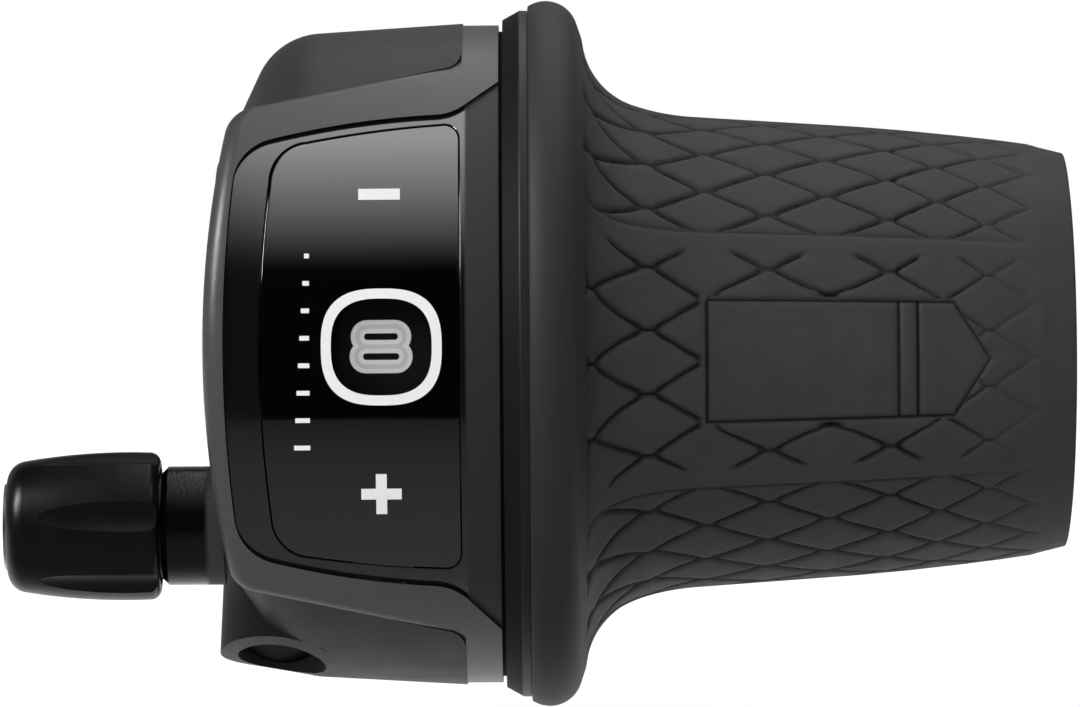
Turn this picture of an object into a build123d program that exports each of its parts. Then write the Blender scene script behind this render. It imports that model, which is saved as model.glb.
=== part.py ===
from build123d import *

import os
from math import acos, atan2, cos, degrees, hypot, radians, sin, sqrt

os.makedirs("parts", exist_ok=True)

# Twist grip shifter for a handlebar. Millimetres.
# +X runs along the bar toward the open end of the grip, -Y is the window side, +Z is up.
# The origin is on the bar axis, in the plane of the clamp screw.

# Handlebar and clearances
bar_diameter = 22.2
bar_play = 0.2
running_gap = 0.3
flange_gap = 0.4
seam_gap = 0.1
slip_fit = 0.05
through = 60.0

# Clamp collar and its screw, which crosses below and behind the bar
collar_wall = 2.8
lug_radius = 4.9
clamp_slot = 1.6
screw_tilt = 51.0
screw_offset = 14.4
screw_diameter = 4.0
screw_play = 0.15
head_radius = 3.35
head_height = 4.0
head_seat = 13.0
socket_flats = 3.0
socket_depth = 2.2
lug_nut_side = 9.2
nut_flats = 7.0
nut_height = 3.2
nut_seat = 4.6

# Main housing
housing_left = -5.0
dome_end_radius = 15.4
dome_corner_x = -0.2
dome_corner_radius = 25.5
dome_corner_round = 5.6
housing_right = 14.6
housing_right_radius = 26.4
housing_wall = 1.7
end_wall_left = 2.4
end_wall = 1.8
lug_left_radius = 24.3
lug_right_x = 3.3
lug_right_radius = 25.75
clamp_window_start = 2.0
clamp_window_end = 100.0
spigot_wall = 0.7

# Front cover
cover_radius = 26.25
cover_wall = 1.6
lip_wall = 2.2
cover_left = -5.3
cover_left_top = 18.9
cover_left_bottom = -17.9
cover_left_bow = 1.9
cover_right_top = 22.6
cover_right_bottom = -21.9
cover_corner = 2.6
cover_edge_round = 1.4
cover_pad_round = 1.5
plate_thickness = 2.2

# Bezel, lens panel and window
bezel_radius = 25.95
bezel_wall = 1.35
bezel_edge_round = 0.4
bezel_left = -3.7
bezel_corner_x = -2.7
bezel_top_left = 16.0
bezel_bottom_left = -15.3
bezel_bow = 0.55
bezel_step_x = 13.8
bezel_top_right = 18.6
bezel_bottom_right = -18.0
bezel_mouth_top = 21.2
bezel_mouth_bottom = -21.5
bezel_corner = 3.8
bezel_step_round = 4.0
lens_radius = 25.9
lens_wall = 1.15
lens_edge_round = 0.25
lens_left = -0.95
lens_corner_x = 0.1
lens_right = 14.45
lens_top_left = 15.9
lens_top_right = 17.85
lens_bottom_left = -15.2
lens_bottom_right = -16.6
lens_bow = 0.3
lens_left_round = 3.2
lens_right_round = 1.2
window_x = 8.5
window_z = 0.5
window_size = 7.4
window_round = 2.6
pane_recess = 0.15
pane_wall = 0.9

# Grip tube
tube_wall = 2.0
tube_right = 62.0
flange_radius = 27.4
flange_rim = 1.5
flange_chamfer = 0.9
seal_reach = 0.45
seal_step = 0.5
seal_gap = 0.25
seal_lip_wall = 0.65
key_width = 3.0
key_height = 0.9
key_count = 3
rib_count = 3
rib_width = 2.4
rib_height = 0.8
rib_end_margin = 4.0

# Turning stack on the tube
circlip_thickness = 0.8
circlip_edge = 0.5
circlip_groove = 0.8
circlip_width = 2.0
circlip_opening = 10.0
drum_width = 6.2
drum_flange_radius = 16.2
drum_groove_radius = 15.0
cable_diameter = 1.5
drum_groove_play = 0.2
drum_groove_flare = 0.3
nipple_radius = 1.7
nipple_depth = 4.5
nipple_angle = 60.0
lobe_radius = 3.2
dial_web = 1.2
dial_radius = 24.2
dial_wall = 1.0
index_thickness = 1.6
index_radius = 21.0
gear_count = 8
gear_pitch = 22.0
notch_radius = 1.0
notch_depth = 0.75
washer_thickness = 0.6
washer_radius = 18.5
washer_gap = 0.2

# Detent leaf spring at the back of the chamber
leaf_thickness = 0.5
leaf_half_length = 10.8
leaf_side_gap = 0.1
leaf_lift = 0.4
bump_gap = 0.05
stop_width = 1.4
stop_depth = 3.0
stop_sink = 0.9

# Rubber sleeve: flange crest, concave sweep, then a gently tapering barrel
crest_x = 20.6
crest_radius = 28.1
crest_start_radius = 27.7
shoulder_x = 23.6
shoulder_radius = 26.5
sweep_start_x = 24.1
sweep_start_radius = 25.0
sweep_mid_x = 25.4
sweep_mid_radius = 21.7
sweep_low_x = 28.2
sweep_low_radius = 19.76
barrel_x = 33.0
barrel_radius = 18.82
barrel_mid_x = 46.0
barrel_mid_radius = 17.95
tread_end_x = 59.8
tread_end_radius = 16.5
sleeve_end_radius = 15.7
sleeve_overhang = 0.4

# Diamond tread
panel_count = 6
panel_turn = -2.2
diamonds_per_panel = 4
groove_depth = 0.45
groove_width = 0.5
tread_start_x = 24.7
column_shares = (-0.12, 0.0, 0.124, 0.252, 0.39, 0.525, 0.662, 0.773, 0.88, 0.985)
ridge_width = 1.2
badge_left = 33.4
badge_length = 15.0
badge_height = 9.8
arrow_bar = 0.8
arrow_shoulder = 2.3
arrow_tip = 3.2

# Barrel adjuster
adjuster_y = -15.28
adjuster_z = -13.2
boss_radius = 4.62
boss_left = -8.9
boss_neck_radius = 3.9
boss_chamfer = 0.5
boss_spigot = 0.65
boss_spigot_radius = 4.0
adjuster_thread_radius = 2.95
adjuster_thread_depth = 7.75
knob_gap = 0.15
knob_left = -21.55
knob_tip_radius = 4.9
knob_tip_dome = 0.8
knob_mid_radius = 5.7
knob_mid_x = -14.15
knob_right_radius = 5.7
knob_tip_round = 1.6
knob_end_round = 0.8
flute_count = 6
flute_radius = 2.2
flute_floor = 5.3
flute_turn = -9.0
spring_bore_radius = 4.6
spring_bore_depth = 3.5
spring_radius = 3.85
spring_wire_radius = 0.3
spring_turns = 3.0
spring_wire_sides = 8
screw_head_flats = 7.4
screw_head_height = 2.0
knob_web = 0.6
seat_wall = 0.8
seat_fit = 0.1
casing_radius = 2.55
seat_floor = 0.9
seat_recess = 0.4
cable_hole_radius = 1.0

# Cable guide
guide_radius = 1.3
guide_wall = 0.4
guide_bend = 4.3
guide_end = 0.2
guide_root = 1.6

# Cover screws
cover_screw_radius = 1.1
cover_screw_head_radius = 2.0
cover_screw_head_height = 1.0
cover_screw_length = 6.0
cover_screw_angles = (-13.0, 11.0)
cover_screw_circle = 22.5
cover_screw_sink = 0.3
cover_post_radius = 1.8
cover_post_gap = 0.4

# Worked out from the values above
bar_radius = bar_diameter / 2
tube_bore = bar_radius + bar_play
tube_outer = tube_bore + tube_wall
collar_radius = bar_radius + collar_wall
chamber_left = end_wall_left + end_wall
chamber_radius = cover_radius - cover_wall
tube_left = chamber_left + running_gap
circlip_left = tube_left + circlip_edge
drum_left = circlip_left + circlip_thickness
drum_right = drum_left + drum_width
dial_right = drum_right + dial_web
index_right = dial_right + index_thickness
washer_right = index_right + washer_thickness
plate_left = washer_right + washer_gap
cover_right = plate_left + plate_thickness
flange_left = cover_right + flange_gap
flange_right = flange_left + flange_rim
seal_lip_left = flange_left - seal_reach
seal_step_left = seal_lip_left - running_gap
seal_radius = cover_radius - seal_step
seal_lip_radius = seal_radius + seal_gap
sleeve_right = tube_right + sleeve_overhang
adjuster_radius = hypot(adjuster_y, adjuster_z)
groove_x = (drum_left + drum_right) / 2
cable_radius = drum_groove_radius + cable_diameter / 2
cover_post_left = cover_left + lip_wall + cover_post_gap
knob_right = boss_left - knob_gap
spring_seat_x = knob_right - spring_bore_depth
spigot_left = boss_left - boss_spigot
screw_head_left = spring_seat_x - screw_head_height
seat_right = screw_head_left - knob_web
seat_radius = casing_radius + seat_wall
front_core_radius = bezel_radius - bezel_wall - seam_gap
notch_circle = index_radius + notch_radius - notch_depth
leaf_inner = index_radius + leaf_lift
cover_screw_points = [
    (-cover_screw_circle * cos(radians(angle)), -cover_screw_circle * sin(radians(angle)))
    for angle in cover_screw_angles
]

# Planes: front outlines, sections across the bar, the clamp screw and the adjuster
front = Plane.XZ
screw_direction = Vector(0, sin(radians(screw_tilt)), cos(radians(screw_tilt)))
screw_outward = Vector(0, cos(radians(screw_tilt)), -sin(radians(screw_tilt)))
screw_plane = Plane(origin=screw_outward * screw_offset, x_dir=(1, 0, 0), z_dir=screw_direction)
adjuster_axis = Axis((0, adjuster_y, adjuster_z), (1, 0, 0))
adjuster_profile = Plane(origin=(0, adjuster_y, adjuster_z), x_dir=(1, 0, 0), z_dir=(0, -1, 0))


# Section plane across the bar at x, facing the open end
def across_bar(x):
    return Plane.YZ.offset(x)


# Section plane across the adjuster axis at x, facing the housing
def across_adjuster(x):
    return Plane(origin=(x, adjuster_y, adjuster_z), x_dir=(0, 1, 0), z_dir=(1, 0, 0))


# Edges whose middle lies on a cylinder about the bar
def on_cylinder(edges, radius):
    return edges.filter_by(lambda edge: abs(hypot((edge @ 0.5).Y, (edge @ 0.5).Z) - radius) < slip_fit)


# Front outline of the cover: bowed left edge, straight top and bottom, open toward the ring
with BuildSketch(front) as cover_outline:
    with BuildLine():
        left_edge = ThreePointArc(
            (cover_left + cover_left_bow, cover_left_top),
            (cover_left, (cover_left_top + cover_left_bottom) / 2),
            (cover_left + cover_left_bow, cover_left_bottom),
        )
        Polyline(
            left_edge @ 1,
            (housing_right, cover_right_bottom),
            (housing_right, -through),
            (through, -through),
            (through, through),
            (housing_right, through),
            (housing_right, cover_right_top),
            left_edge @ 0,
        )
    make_face()
    for corner_z in (cover_right_top, cover_right_bottom):
        fillet(
            cover_outline.vertices().sort_by_distance((housing_right, corner_z))[0],
            radius=cover_pad_round,
        )
    fillet(cover_outline.vertices().group_by(Axis.X)[0], radius=cover_corner)

# Left, top and bottom lines of the bezel, drawn in by gap
def bezel_lines(gap):
    top_left = bezel_top_left - gap
    top_right = bezel_top_right - gap
    bottom_left = bezel_bottom_left + gap
    bottom_right = bezel_bottom_right + gap
    corner_x = bezel_corner_x + gap
    middle_x = (corner_x + bezel_step_x) / 2
    ThreePointArc(
        (corner_x, top_left), (bezel_left + gap, (top_left + bottom_left) / 2), (corner_x, bottom_left)
    )
    ThreePointArc(
        (corner_x, top_left), (middle_x, (top_left + top_right) / 2 + bezel_bow), (bezel_step_x, top_right)
    )
    ThreePointArc(
        (corner_x, bottom_left),
        (middle_x, (bottom_left + bottom_right) / 2 - bezel_bow),
        (bezel_step_x, bottom_right),
    )
    Polyline(
        (bezel_step_x, top_right),
        (seal_step_left, bezel_mouth_top - gap),
        (seal_step_left, bezel_mouth_bottom + gap),
        (bezel_step_x, bottom_right),
    )


# Outline of the lens panel, drawn in by gap
def lens_lines(gap):
    top_left = lens_top_left - gap
    top_right = lens_top_right - gap
    bottom_left = lens_bottom_left + gap
    bottom_right = lens_bottom_right + gap
    corner_x = lens_corner_x + gap
    right = lens_right - gap
    middle_x = (corner_x + right) / 2
    ThreePointArc(
        (corner_x, top_left), (lens_left + gap, (top_left + bottom_left) / 2), (corner_x, bottom_left)
    )
    ThreePointArc(
        (corner_x, top_left), (middle_x, (top_left + top_right) / 2 + lens_bow), (right, top_right)
    )
    ThreePointArc(
        (corner_x, bottom_left),
        (middle_x, (bottom_left + bottom_right) / 2 - lens_bow),
        (right, bottom_right),
    )
    Line((right, top_right), (right, bottom_right))


# Front outlines of the bezel and of its opening in the cover
with BuildSketch(front) as bezel_opening:
    with BuildLine():
        bezel_lines(0)
    make_face()
    fillet(bezel_opening.vertices().group_by(Axis.X)[1], radius=bezel_step_round)
    fillet(bezel_opening.vertices().group_by(Axis.X)[0], radius=bezel_corner)

with BuildSketch(front) as bezel_outline:
    with BuildLine():
        bezel_lines(seam_gap)
    make_face()
    fillet(bezel_outline.vertices().group_by(Axis.X)[1], radius=bezel_step_round)
    fillet(bezel_outline.vertices().group_by(Axis.X)[0], radius=bezel_corner - seam_gap)

# Front outlines of the lens panel and of its opening in the bezel
with BuildSketch(front) as lens_opening:
    with BuildLine():
        lens_lines(0)
    make_face()
    fillet(lens_opening.vertices().group_by(Axis.X)[0], radius=lens_left_round)
    fillet(lens_opening.vertices().group_by(Axis.X)[-1], radius=lens_right_round)

with BuildSketch(front) as lens_outline:
    with BuildLine():
        lens_lines(seam_gap)
    make_face()
    fillet(lens_outline.vertices().group_by(Axis.X)[0], radius=lens_left_round - seam_gap)
    fillet(lens_outline.vertices().group_by(Axis.X)[-1], radius=lens_right_round - seam_gap)

# Front outlines of the window opening and its pane
with BuildSketch(front) as window_opening:
    with Locations((window_x, window_z)):
        RectangleRounded(window_size, window_size, window_round)

with BuildSketch(front) as pane_outline:
    with Locations((window_x, window_z)):
        RectangleRounded(window_size - 2 * slip_fit, window_size - 2 * slip_fit, window_round - slip_fit)

# Clamp lug, trimmed to the housing's outer form
with BuildPart() as clamp_lug:
    with BuildSketch(screw_plane.offset(-through / 2)):
        Circle(lug_radius)
    extrude(amount=through / 2 + lug_nut_side)
    with BuildSketch(front):
        with BuildLine():
            Polyline(
                (-through, 0),
                (-through, lug_left_radius),
                (housing_left, lug_left_radius),
                (lug_right_x, lug_right_radius),
                (chamber_left, lug_right_radius),
                (chamber_left, 0),
                close=True,
            )
        make_face()
    revolve(axis=Axis.X, mode=Mode.INTERSECT)

# Room that the front cover and the bezel take out of the housing
with BuildPart() as cover_room:
    extrude(cover_outline.sketch, amount=through)
    with BuildSketch(across_bar(-through)):
        Circle(front_core_radius)
    extrude(amount=2 * through, mode=Mode.SUBTRACT)

# Section of the housing's outer form, turned about the bar
with BuildSketch(front) as housing_section:
    with BuildLine():
        Polyline(
            (housing_left, 0),
            (housing_left, dome_end_radius),
            (dome_corner_x, dome_corner_radius),
            (housing_right, housing_right_radius),
            (housing_right, 0),
            close=True,
        )
    make_face()
    fillet(
        housing_section.vertices().sort_by_distance((dome_corner_x, dome_corner_radius))[0],
        radius=dome_corner_round,
    )

# Main housing: domed shell, end wall, clamp collar with its lug, and the adjuster boss
with BuildPart() as main_housing:
    add(housing_section.sketch)
    revolve(axis=Axis.X)
    with BuildSketch(across_bar(chamber_left)):
        Circle(chamber_radius)
    extrude(amount=through, mode=Mode.SUBTRACT)
    with BuildSketch(front) as dome_hollow:
        with BuildLine():
            Polyline(
                (housing_left + housing_wall, collar_radius),
                (housing_left + housing_wall, dome_end_radius),
                (dome_corner_x + housing_wall / 2, dome_corner_radius - housing_wall),
                (end_wall_left, dome_corner_radius - housing_wall),
                (end_wall_left, collar_radius),
                close=True,
            )
        make_face()
    revolve(axis=Axis.X, mode=Mode.SUBTRACT)
    add(cover_room.part, mode=Mode.SUBTRACT)
    with BuildSketch(across_bar(housing_left)):
        with BuildLine():
            Polyline(
                (0, 0),
                (through * sin(radians(clamp_window_start)), -through * cos(radians(clamp_window_start))),
                (through, -through),
                (through * sin(radians(clamp_window_end)), -through * cos(radians(clamp_window_end))),
                close=True,
            )
        make_face()
        Circle(collar_radius, mode=Mode.SUBTRACT)
    extrude(amount=end_wall_left - housing_left, mode=Mode.SUBTRACT)
    with BuildSketch(across_bar(housing_right)):
        Circle(chamber_radius + spigot_wall)
        Circle(chamber_radius, mode=Mode.SUBTRACT)
    extrude(amount=plate_left - housing_right - seam_gap)
    add(cover_room.part, mode=Mode.SUBTRACT)
    add(clamp_lug.part)
    with BuildSketch(across_adjuster(boss_left)):
        Circle(boss_radius)
    boss = extrude(amount=bezel_left - boss_left - running_gap)
    chamfer(boss.edges().group_by(Axis.X)[0], length=boss_chamfer)
    with BuildSketch(across_adjuster(spigot_left)):
        Circle(boss_spigot_radius)
    extrude(amount=boss_spigot)
    with BuildSketch(across_adjuster(bezel_left - running_gap)):
        Circle(boss_neck_radius)
    extrude(amount=chamber_left - bezel_left + running_gap)
    with BuildSketch(across_bar(cover_post_left)):
        with Locations(*cover_screw_points):
            Circle(cover_post_radius)
    extrude(amount=end_wall_left - cover_post_left)
    with BuildSketch(across_bar(cover_post_left)):
        with Locations(*cover_screw_points):
            Circle(cover_screw_radius + slip_fit)
    extrude(amount=end_wall_left - cover_post_left, mode=Mode.SUBTRACT)
    for side in (-1, 1):
        stop_z = side * (leaf_half_length + leaf_side_gap + stop_width / 2)
        stop_y = sqrt(chamber_radius**2 - stop_z**2) - stop_depth / 2 + stop_sink
        with BuildSketch(across_bar(dial_right + leaf_side_gap)):
            with Locations((stop_y, stop_z)):
                Rectangle(stop_depth, stop_width)
        extrude(amount=housing_right - dial_right - leaf_side_gap)
    with BuildSketch(across_bar(housing_left - through / 2)):
        Circle(bar_radius)
    extrude(amount=through, mode=Mode.SUBTRACT)
    with BuildSketch(screw_plane):
        Circle(screw_diameter / 2 + screw_play)
    extrude(amount=through / 2, both=True, mode=Mode.SUBTRACT)
    with BuildSketch(screw_plane.offset(-head_seat)):
        Circle(head_radius + screw_play)
    extrude(amount=-through / 2, mode=Mode.SUBTRACT)
    with BuildSketch(screw_plane.offset(nut_seat)):
        RegularPolygon(nut_flats / 2 + slip_fit, 6, major_radius=False)
    extrude(amount=through / 2, mode=Mode.SUBTRACT)
    with BuildSketch(screw_plane.offset(-clamp_slot / 2)):
        with Locations((housing_left + (end_wall_left - housing_left) / 2, 0)):
            Rectangle(end_wall_left - housing_left, screw_offset + lug_radius)
    extrude(amount=clamp_slot, mode=Mode.SUBTRACT)
    with BuildSketch(across_adjuster(spigot_left)):
        Circle(adjuster_thread_radius + slip_fit)
    extrude(amount=boss_spigot + adjuster_thread_depth, mode=Mode.SUBTRACT)
    with BuildSketch(across_adjuster(boss_left)):
        Circle(guide_radius + slip_fit)
    extrude(amount=chamber_left - boss_left, mode=Mode.SUBTRACT)

main_housing.part.label = "main_housing"
export_step(main_housing.part, "parts/main_housing.step")

# Hollow inside the front cover, with the same bow as its left edge
with BuildPart() as cover_hollow:
    with BuildSketch(across_bar(-through)):
        Circle(chamber_radius)
    extrude(amount=through + plate_left)
    with BuildSketch(front):
        with BuildLine():
            inner_edge = ThreePointArc(
                (cover_left + lip_wall + cover_left_bow, cover_left_top),
                (cover_left + lip_wall, (cover_left_top + cover_left_bottom) / 2),
                (cover_left + lip_wall + cover_left_bow, cover_left_bottom),
            )
            Polyline(
                inner_edge @ 1,
                (cover_left + lip_wall + cover_left_bow, -through),
                (through, -through),
                (through, through),
                (cover_left + lip_wall + cover_left_bow, through),
                inner_edge @ 0,
            )
        make_face()
    extrude(amount=through, both=True, mode=Mode.INTERSECT)

# Opening that the bezel fills
with BuildPart() as bezel_room:
    extrude(bezel_opening.sketch, amount=through)
    with BuildSketch(across_bar(-through)):
        Circle(front_core_radius)
    extrude(amount=2 * through, mode=Mode.SUBTRACT)

# Room that the dome takes out of the cover's left lip
with BuildPart() as dome_room:
    with BuildSketch(front):
        add(housing_section.sketch_local)
        offset(amount=seam_gap)
        with Locations((0, through / 2)):
            Rectangle(2 * through, through, mode=Mode.INTERSECT)
    revolve(axis=Axis.X)
    with BuildSketch(across_bar(-through)):
        Circle(front_core_radius + seam_gap)
    extrude(amount=2 * through, mode=Mode.INTERSECT)

# Front cover: C band with a rolled left edge, the ring, and the plate that carries the grip tube
with BuildPart() as front_cover:
    with BuildSketch(across_bar(cover_left)):
        Circle(cover_radius)
    extrude(amount=cover_right - cover_left)
    extrude(cover_outline.sketch, amount=through, mode=Mode.INTERSECT)
    fillet(front_cover.faces().sort_by(Axis.X)[0].edges().sort_by(Axis.Y)[0], radius=cover_edge_round)
    add(cover_hollow.part, mode=Mode.SUBTRACT)
    add(dome_room.part, mode=Mode.SUBTRACT)
    with BuildSketch(across_bar(cover_left)):
        Circle(dome_end_radius)
    extrude(amount=lip_wall, mode=Mode.SUBTRACT)
    with BuildSketch(across_bar(housing_right)):
        Circle(cover_radius)
    extrude(amount=plate_left - housing_right)
    with BuildSketch(across_bar(housing_right)):
        Circle(chamber_radius + spigot_wall + seam_gap)
    extrude(amount=plate_left - housing_right, mode=Mode.SUBTRACT)
    with BuildSketch(across_bar(plate_left)):
        Circle(cover_radius)
    extrude(amount=plate_thickness)
    with BuildSketch(across_bar(plate_left)):
        Circle(tube_outer + running_gap)
    extrude(amount=plate_thickness, mode=Mode.SUBTRACT)
    with BuildSketch(across_bar(seal_step_left)):
        Circle(through)
        Circle(seal_radius, mode=Mode.SUBTRACT)
    extrude(amount=through, mode=Mode.SUBTRACT)
    add(bezel_room.part, mode=Mode.SUBTRACT)
    with BuildSketch(across_adjuster(boss_left)):
        Circle(boss_radius + seam_gap)
        with Locations((-adjuster_y / 2, -boss_radius / 2)):
            Rectangle(-adjuster_y, 3 * boss_radius)
    extrude(amount=end_wall_left - boss_left, mode=Mode.SUBTRACT)
    with BuildSketch(across_bar(cover_left)):
        with Locations(*cover_screw_points):
            Circle(cover_screw_radius + slip_fit)
    extrude(amount=lip_wall + cover_post_gap, mode=Mode.SUBTRACT)
    with BuildSketch(across_bar(cover_left)):
        with Locations(*cover_screw_points):
            Circle(cover_screw_head_radius + slip_fit)
    extrude(amount=cover_screw_sink + cover_screw_head_height, mode=Mode.SUBTRACT)

front_cover.part.label = "front_cover"
export_step(front_cover.part, "parts/front_cover.step")

# Bezel round the lens panel
with BuildPart() as window_bezel:
    with BuildSketch(across_bar(cover_left)):
        Circle(bezel_radius)
        Circle(bezel_radius - bezel_wall, mode=Mode.SUBTRACT)
    extrude(amount=flange_left - cover_left)
    extrude(bezel_outline.sketch, amount=through, mode=Mode.INTERSECT)
    extrude(lens_opening.sketch, amount=through, mode=Mode.SUBTRACT)
    fillet(on_cylinder(window_bezel.edges(Select.LAST), bezel_radius), radius=bezel_edge_round)

window_bezel.part.label = "window_bezel"
export_step(window_bezel.part, "parts/window_bezel.step")

# Lens panel with the window opening
with BuildPart() as lens_panel:
    with BuildSketch(across_bar(cover_left)):
        Circle(lens_radius)
        Circle(lens_radius - lens_wall, mode=Mode.SUBTRACT)
    extrude(amount=cover_right - cover_left)
    extrude(lens_outline.sketch, amount=through, mode=Mode.INTERSECT)
    fillet(on_cylinder(lens_panel.edges(), lens_radius), radius=lens_edge_round)
    extrude(window_opening.sketch, amount=through, mode=Mode.SUBTRACT)

lens_panel.part.label = "lens_panel"
export_step(lens_panel.part, "parts/lens_panel.step")

# Clear pane in the window
with BuildPart() as window_pane:
    with BuildSketch(across_bar(cover_left)):
        Circle(lens_radius - pane_recess)
        Circle(lens_radius - pane_recess - pane_wall, mode=Mode.SUBTRACT)
    extrude(amount=cover_right - cover_left)
    extrude(pane_outline.sketch, amount=through, mode=Mode.INTERSECT)

window_pane.part.label = "window_pane"
export_step(window_pane.part, "parts/window_pane.step")

# Screws that hold the front cover
with BuildPart() as cover_screws:
    with BuildSketch(across_bar(cover_left + cover_screw_sink)):
        with Locations(*cover_screw_points):
            Circle(cover_screw_head_radius)
    extrude(amount=cover_screw_head_height)
    with BuildSketch(across_bar(cover_left + cover_screw_sink + cover_screw_head_height)):
        with Locations(*cover_screw_points):
            Circle(cover_screw_radius)
    extrude(amount=cover_screw_length)

cover_screws.part.label = "cover_screws"
export_step(cover_screws.part, "parts/cover_screws.step")

# Clamp screw with its hexagon socket
with BuildPart() as clamp_screw:
    with BuildSketch(screw_plane.offset(-head_seat - head_height)):
        Circle(head_radius)
    extrude(amount=head_height)
    with BuildSketch(screw_plane.offset(-head_seat - head_height)):
        RegularPolygon(socket_flats / 2, 6, major_radius=False)
    extrude(amount=socket_depth, mode=Mode.SUBTRACT)
    with BuildSketch(screw_plane.offset(-head_seat)):
        Circle(screw_diameter / 2)
    extrude(amount=head_seat + nut_seat + nut_height)

clamp_screw.part.label = "clamp_screw"
export_step(clamp_screw.part, "parts/clamp_screw.step")

with BuildPart() as clamp_nut:
    with BuildSketch(screw_plane.offset(nut_seat)):
        RegularPolygon(nut_flats / 2, 6, major_radius=False)
        Circle(screw_diameter / 2 + slip_fit, mode=Mode.SUBTRACT)
    extrude(amount=nut_height)

clamp_nut.part.label = "clamp_nut"
export_step(clamp_nut.part, "parts/clamp_nut.step")

# Grip tube with its flange, drive keys and the ribs that hold the rubber
with BuildPart() as grip_tube:
    with BuildSketch(front):
        with BuildLine():
            Polyline(
                (tube_left, tube_bore),
                (tube_left, tube_outer),
                (flange_left, tube_outer),
                (flange_left, seal_lip_radius),
                (seal_lip_left, seal_lip_radius),
                (seal_lip_left, seal_lip_radius + seal_lip_wall),
                (flange_left + flange_chamfer, flange_radius),
                (flange_right, flange_radius),
                (flange_right, tube_outer),
                (tube_right, tube_outer),
                (tube_right, tube_bore),
                close=True,
            )
        make_face()
    revolve(axis=Axis.X)
    with BuildSketch(across_bar(drum_left)):
        with PolarLocations(tube_outer, key_count):
            Rectangle(2 * key_height, key_width)
    extrude(amount=index_right - drum_left)
    with BuildSketch(across_bar(flange_right)):
        with PolarLocations(tube_outer, rib_count):
            Rectangle(2 * rib_height, rib_width)
    extrude(amount=tube_right - rib_end_margin - flange_right)
    with BuildSketch(across_bar(circlip_left)):
        Circle(tube_outer)
        Circle(tube_outer - circlip_groove, mode=Mode.SUBTRACT)
    extrude(amount=circlip_thickness, mode=Mode.SUBTRACT)

grip_tube.part.label = "grip_tube"
export_step(grip_tube.part, "parts/grip_tube.step")

# Bore of every piece that is keyed on the tube
with BuildSketch(Plane.YZ) as keyed_bore:
    Circle(tube_outer + slip_fit)
    with PolarLocations(tube_outer, key_count):
        Rectangle(2 * (key_height + slip_fit), key_width + 2 * slip_fit)

# Drum with the cable groove and the lobe that holds the cable's end nipple
with BuildPart() as cable_drum:
    with BuildSketch(across_bar(drum_left)):
        Circle(drum_flange_radius)
    extrude(amount=drum_width)
    groove_half = cable_diameter / 2 + drum_groove_play
    with BuildSketch(front):
        with BuildLine():
            Polyline(
                (groove_x - groove_half, drum_groove_radius),
                (groove_x + groove_half, drum_groove_radius),
                (groove_x + groove_half + drum_groove_flare, drum_flange_radius),
                (groove_x - groove_half - drum_groove_flare, drum_flange_radius),
                close=True,
            )
        make_face()
    revolve(axis=Axis.X, mode=Mode.SUBTRACT)
    with BuildSketch(across_bar(drum_left)):
        with PolarLocations(drum_flange_radius, 1, start_angle=nipple_angle):
            Circle(lobe_radius)
    extrude(amount=drum_width)
    with BuildSketch(across_bar(drum_left)):
        with PolarLocations(drum_flange_radius, 1, start_angle=nipple_angle):
            Circle(nipple_radius)
    extrude(amount=nipple_depth, mode=Mode.SUBTRACT)
    extrude(keyed_bore.sketch, amount=through, both=True, mode=Mode.SUBTRACT)

cable_drum.part.label = "cable_drum"
export_step(cable_drum.part, "parts/cable_drum.step")

# Number dial: a cup whose band runs behind the window
with BuildPart() as number_dial:
    with BuildSketch(across_bar(tube_left)):
        Circle(dial_radius)
    extrude(amount=dial_right - tube_left)
    with BuildSketch(across_bar(tube_left)):
        Circle(dial_radius - dial_wall)
    extrude(amount=drum_right - tube_left, mode=Mode.SUBTRACT)
    extrude(keyed_bore.sketch, amount=through, both=True, mode=Mode.SUBTRACT)

number_dial.part.label = "number_dial"
export_step(number_dial.part, "parts/number_dial.step")

# Index ring: one notch for each gear, the first at the back under the leaf spring
with BuildPart() as index_ring:
    with BuildSketch(across_bar(dial_right)):
        Circle(index_radius)
        with PolarLocations(notch_circle, gear_count, angular_range=gear_count * gear_pitch):
            Circle(notch_radius, mode=Mode.SUBTRACT)
    extrude(amount=index_thickness)
    extrude(keyed_bore.sketch, amount=through, both=True, mode=Mode.SUBTRACT)

index_ring.part.label = "index_ring"
export_step(index_ring.part, "parts/index_ring.step")

with BuildPart() as thrust_washer:
    with BuildSketch(across_bar(index_right)):
        Circle(washer_radius)
        Circle(tube_outer + slip_fit, mode=Mode.SUBTRACT)
    extrude(amount=washer_thickness)

thrust_washer.part.label = "thrust_washer"
export_step(thrust_washer.part, "parts/thrust_washer.step")

# Open retaining ring in the groove at the tube's inner end
with BuildPart() as drum_circlip:
    circlip_bore = tube_outer - circlip_groove + slip_fit
    with BuildSketch(across_bar(circlip_left)):
        Circle(circlip_bore + circlip_width)
        Circle(circlip_bore, mode=Mode.SUBTRACT)
        with Locations((circlip_bore + circlip_width / 2, 0)):
            Rectangle(2 * circlip_width, circlip_opening, mode=Mode.SUBTRACT)
    extrude(amount=circlip_thickness)

drum_circlip.part.label = "drum_circlip"
export_step(drum_circlip.part, "parts/drum_circlip.step")

# Leaf spring: a flat strip across the back of the chamber with a bump in the notch
with BuildPart() as detent_spring:
    with BuildSketch(across_bar(dial_right + leaf_side_gap)):
        with Locations((notch_circle, 0)):
            Circle(notch_radius - bump_gap)
        with Locations((leaf_inner + leaf_thickness + notch_radius, 0)):
            Rectangle(2 * notch_radius, 4 * notch_radius, mode=Mode.SUBTRACT)
        with Locations((leaf_inner + leaf_thickness / 2, 0)):
            Rectangle(leaf_thickness, 2 * leaf_half_length)
    extrude(amount=index_thickness - 2 * leaf_side_gap)

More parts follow.
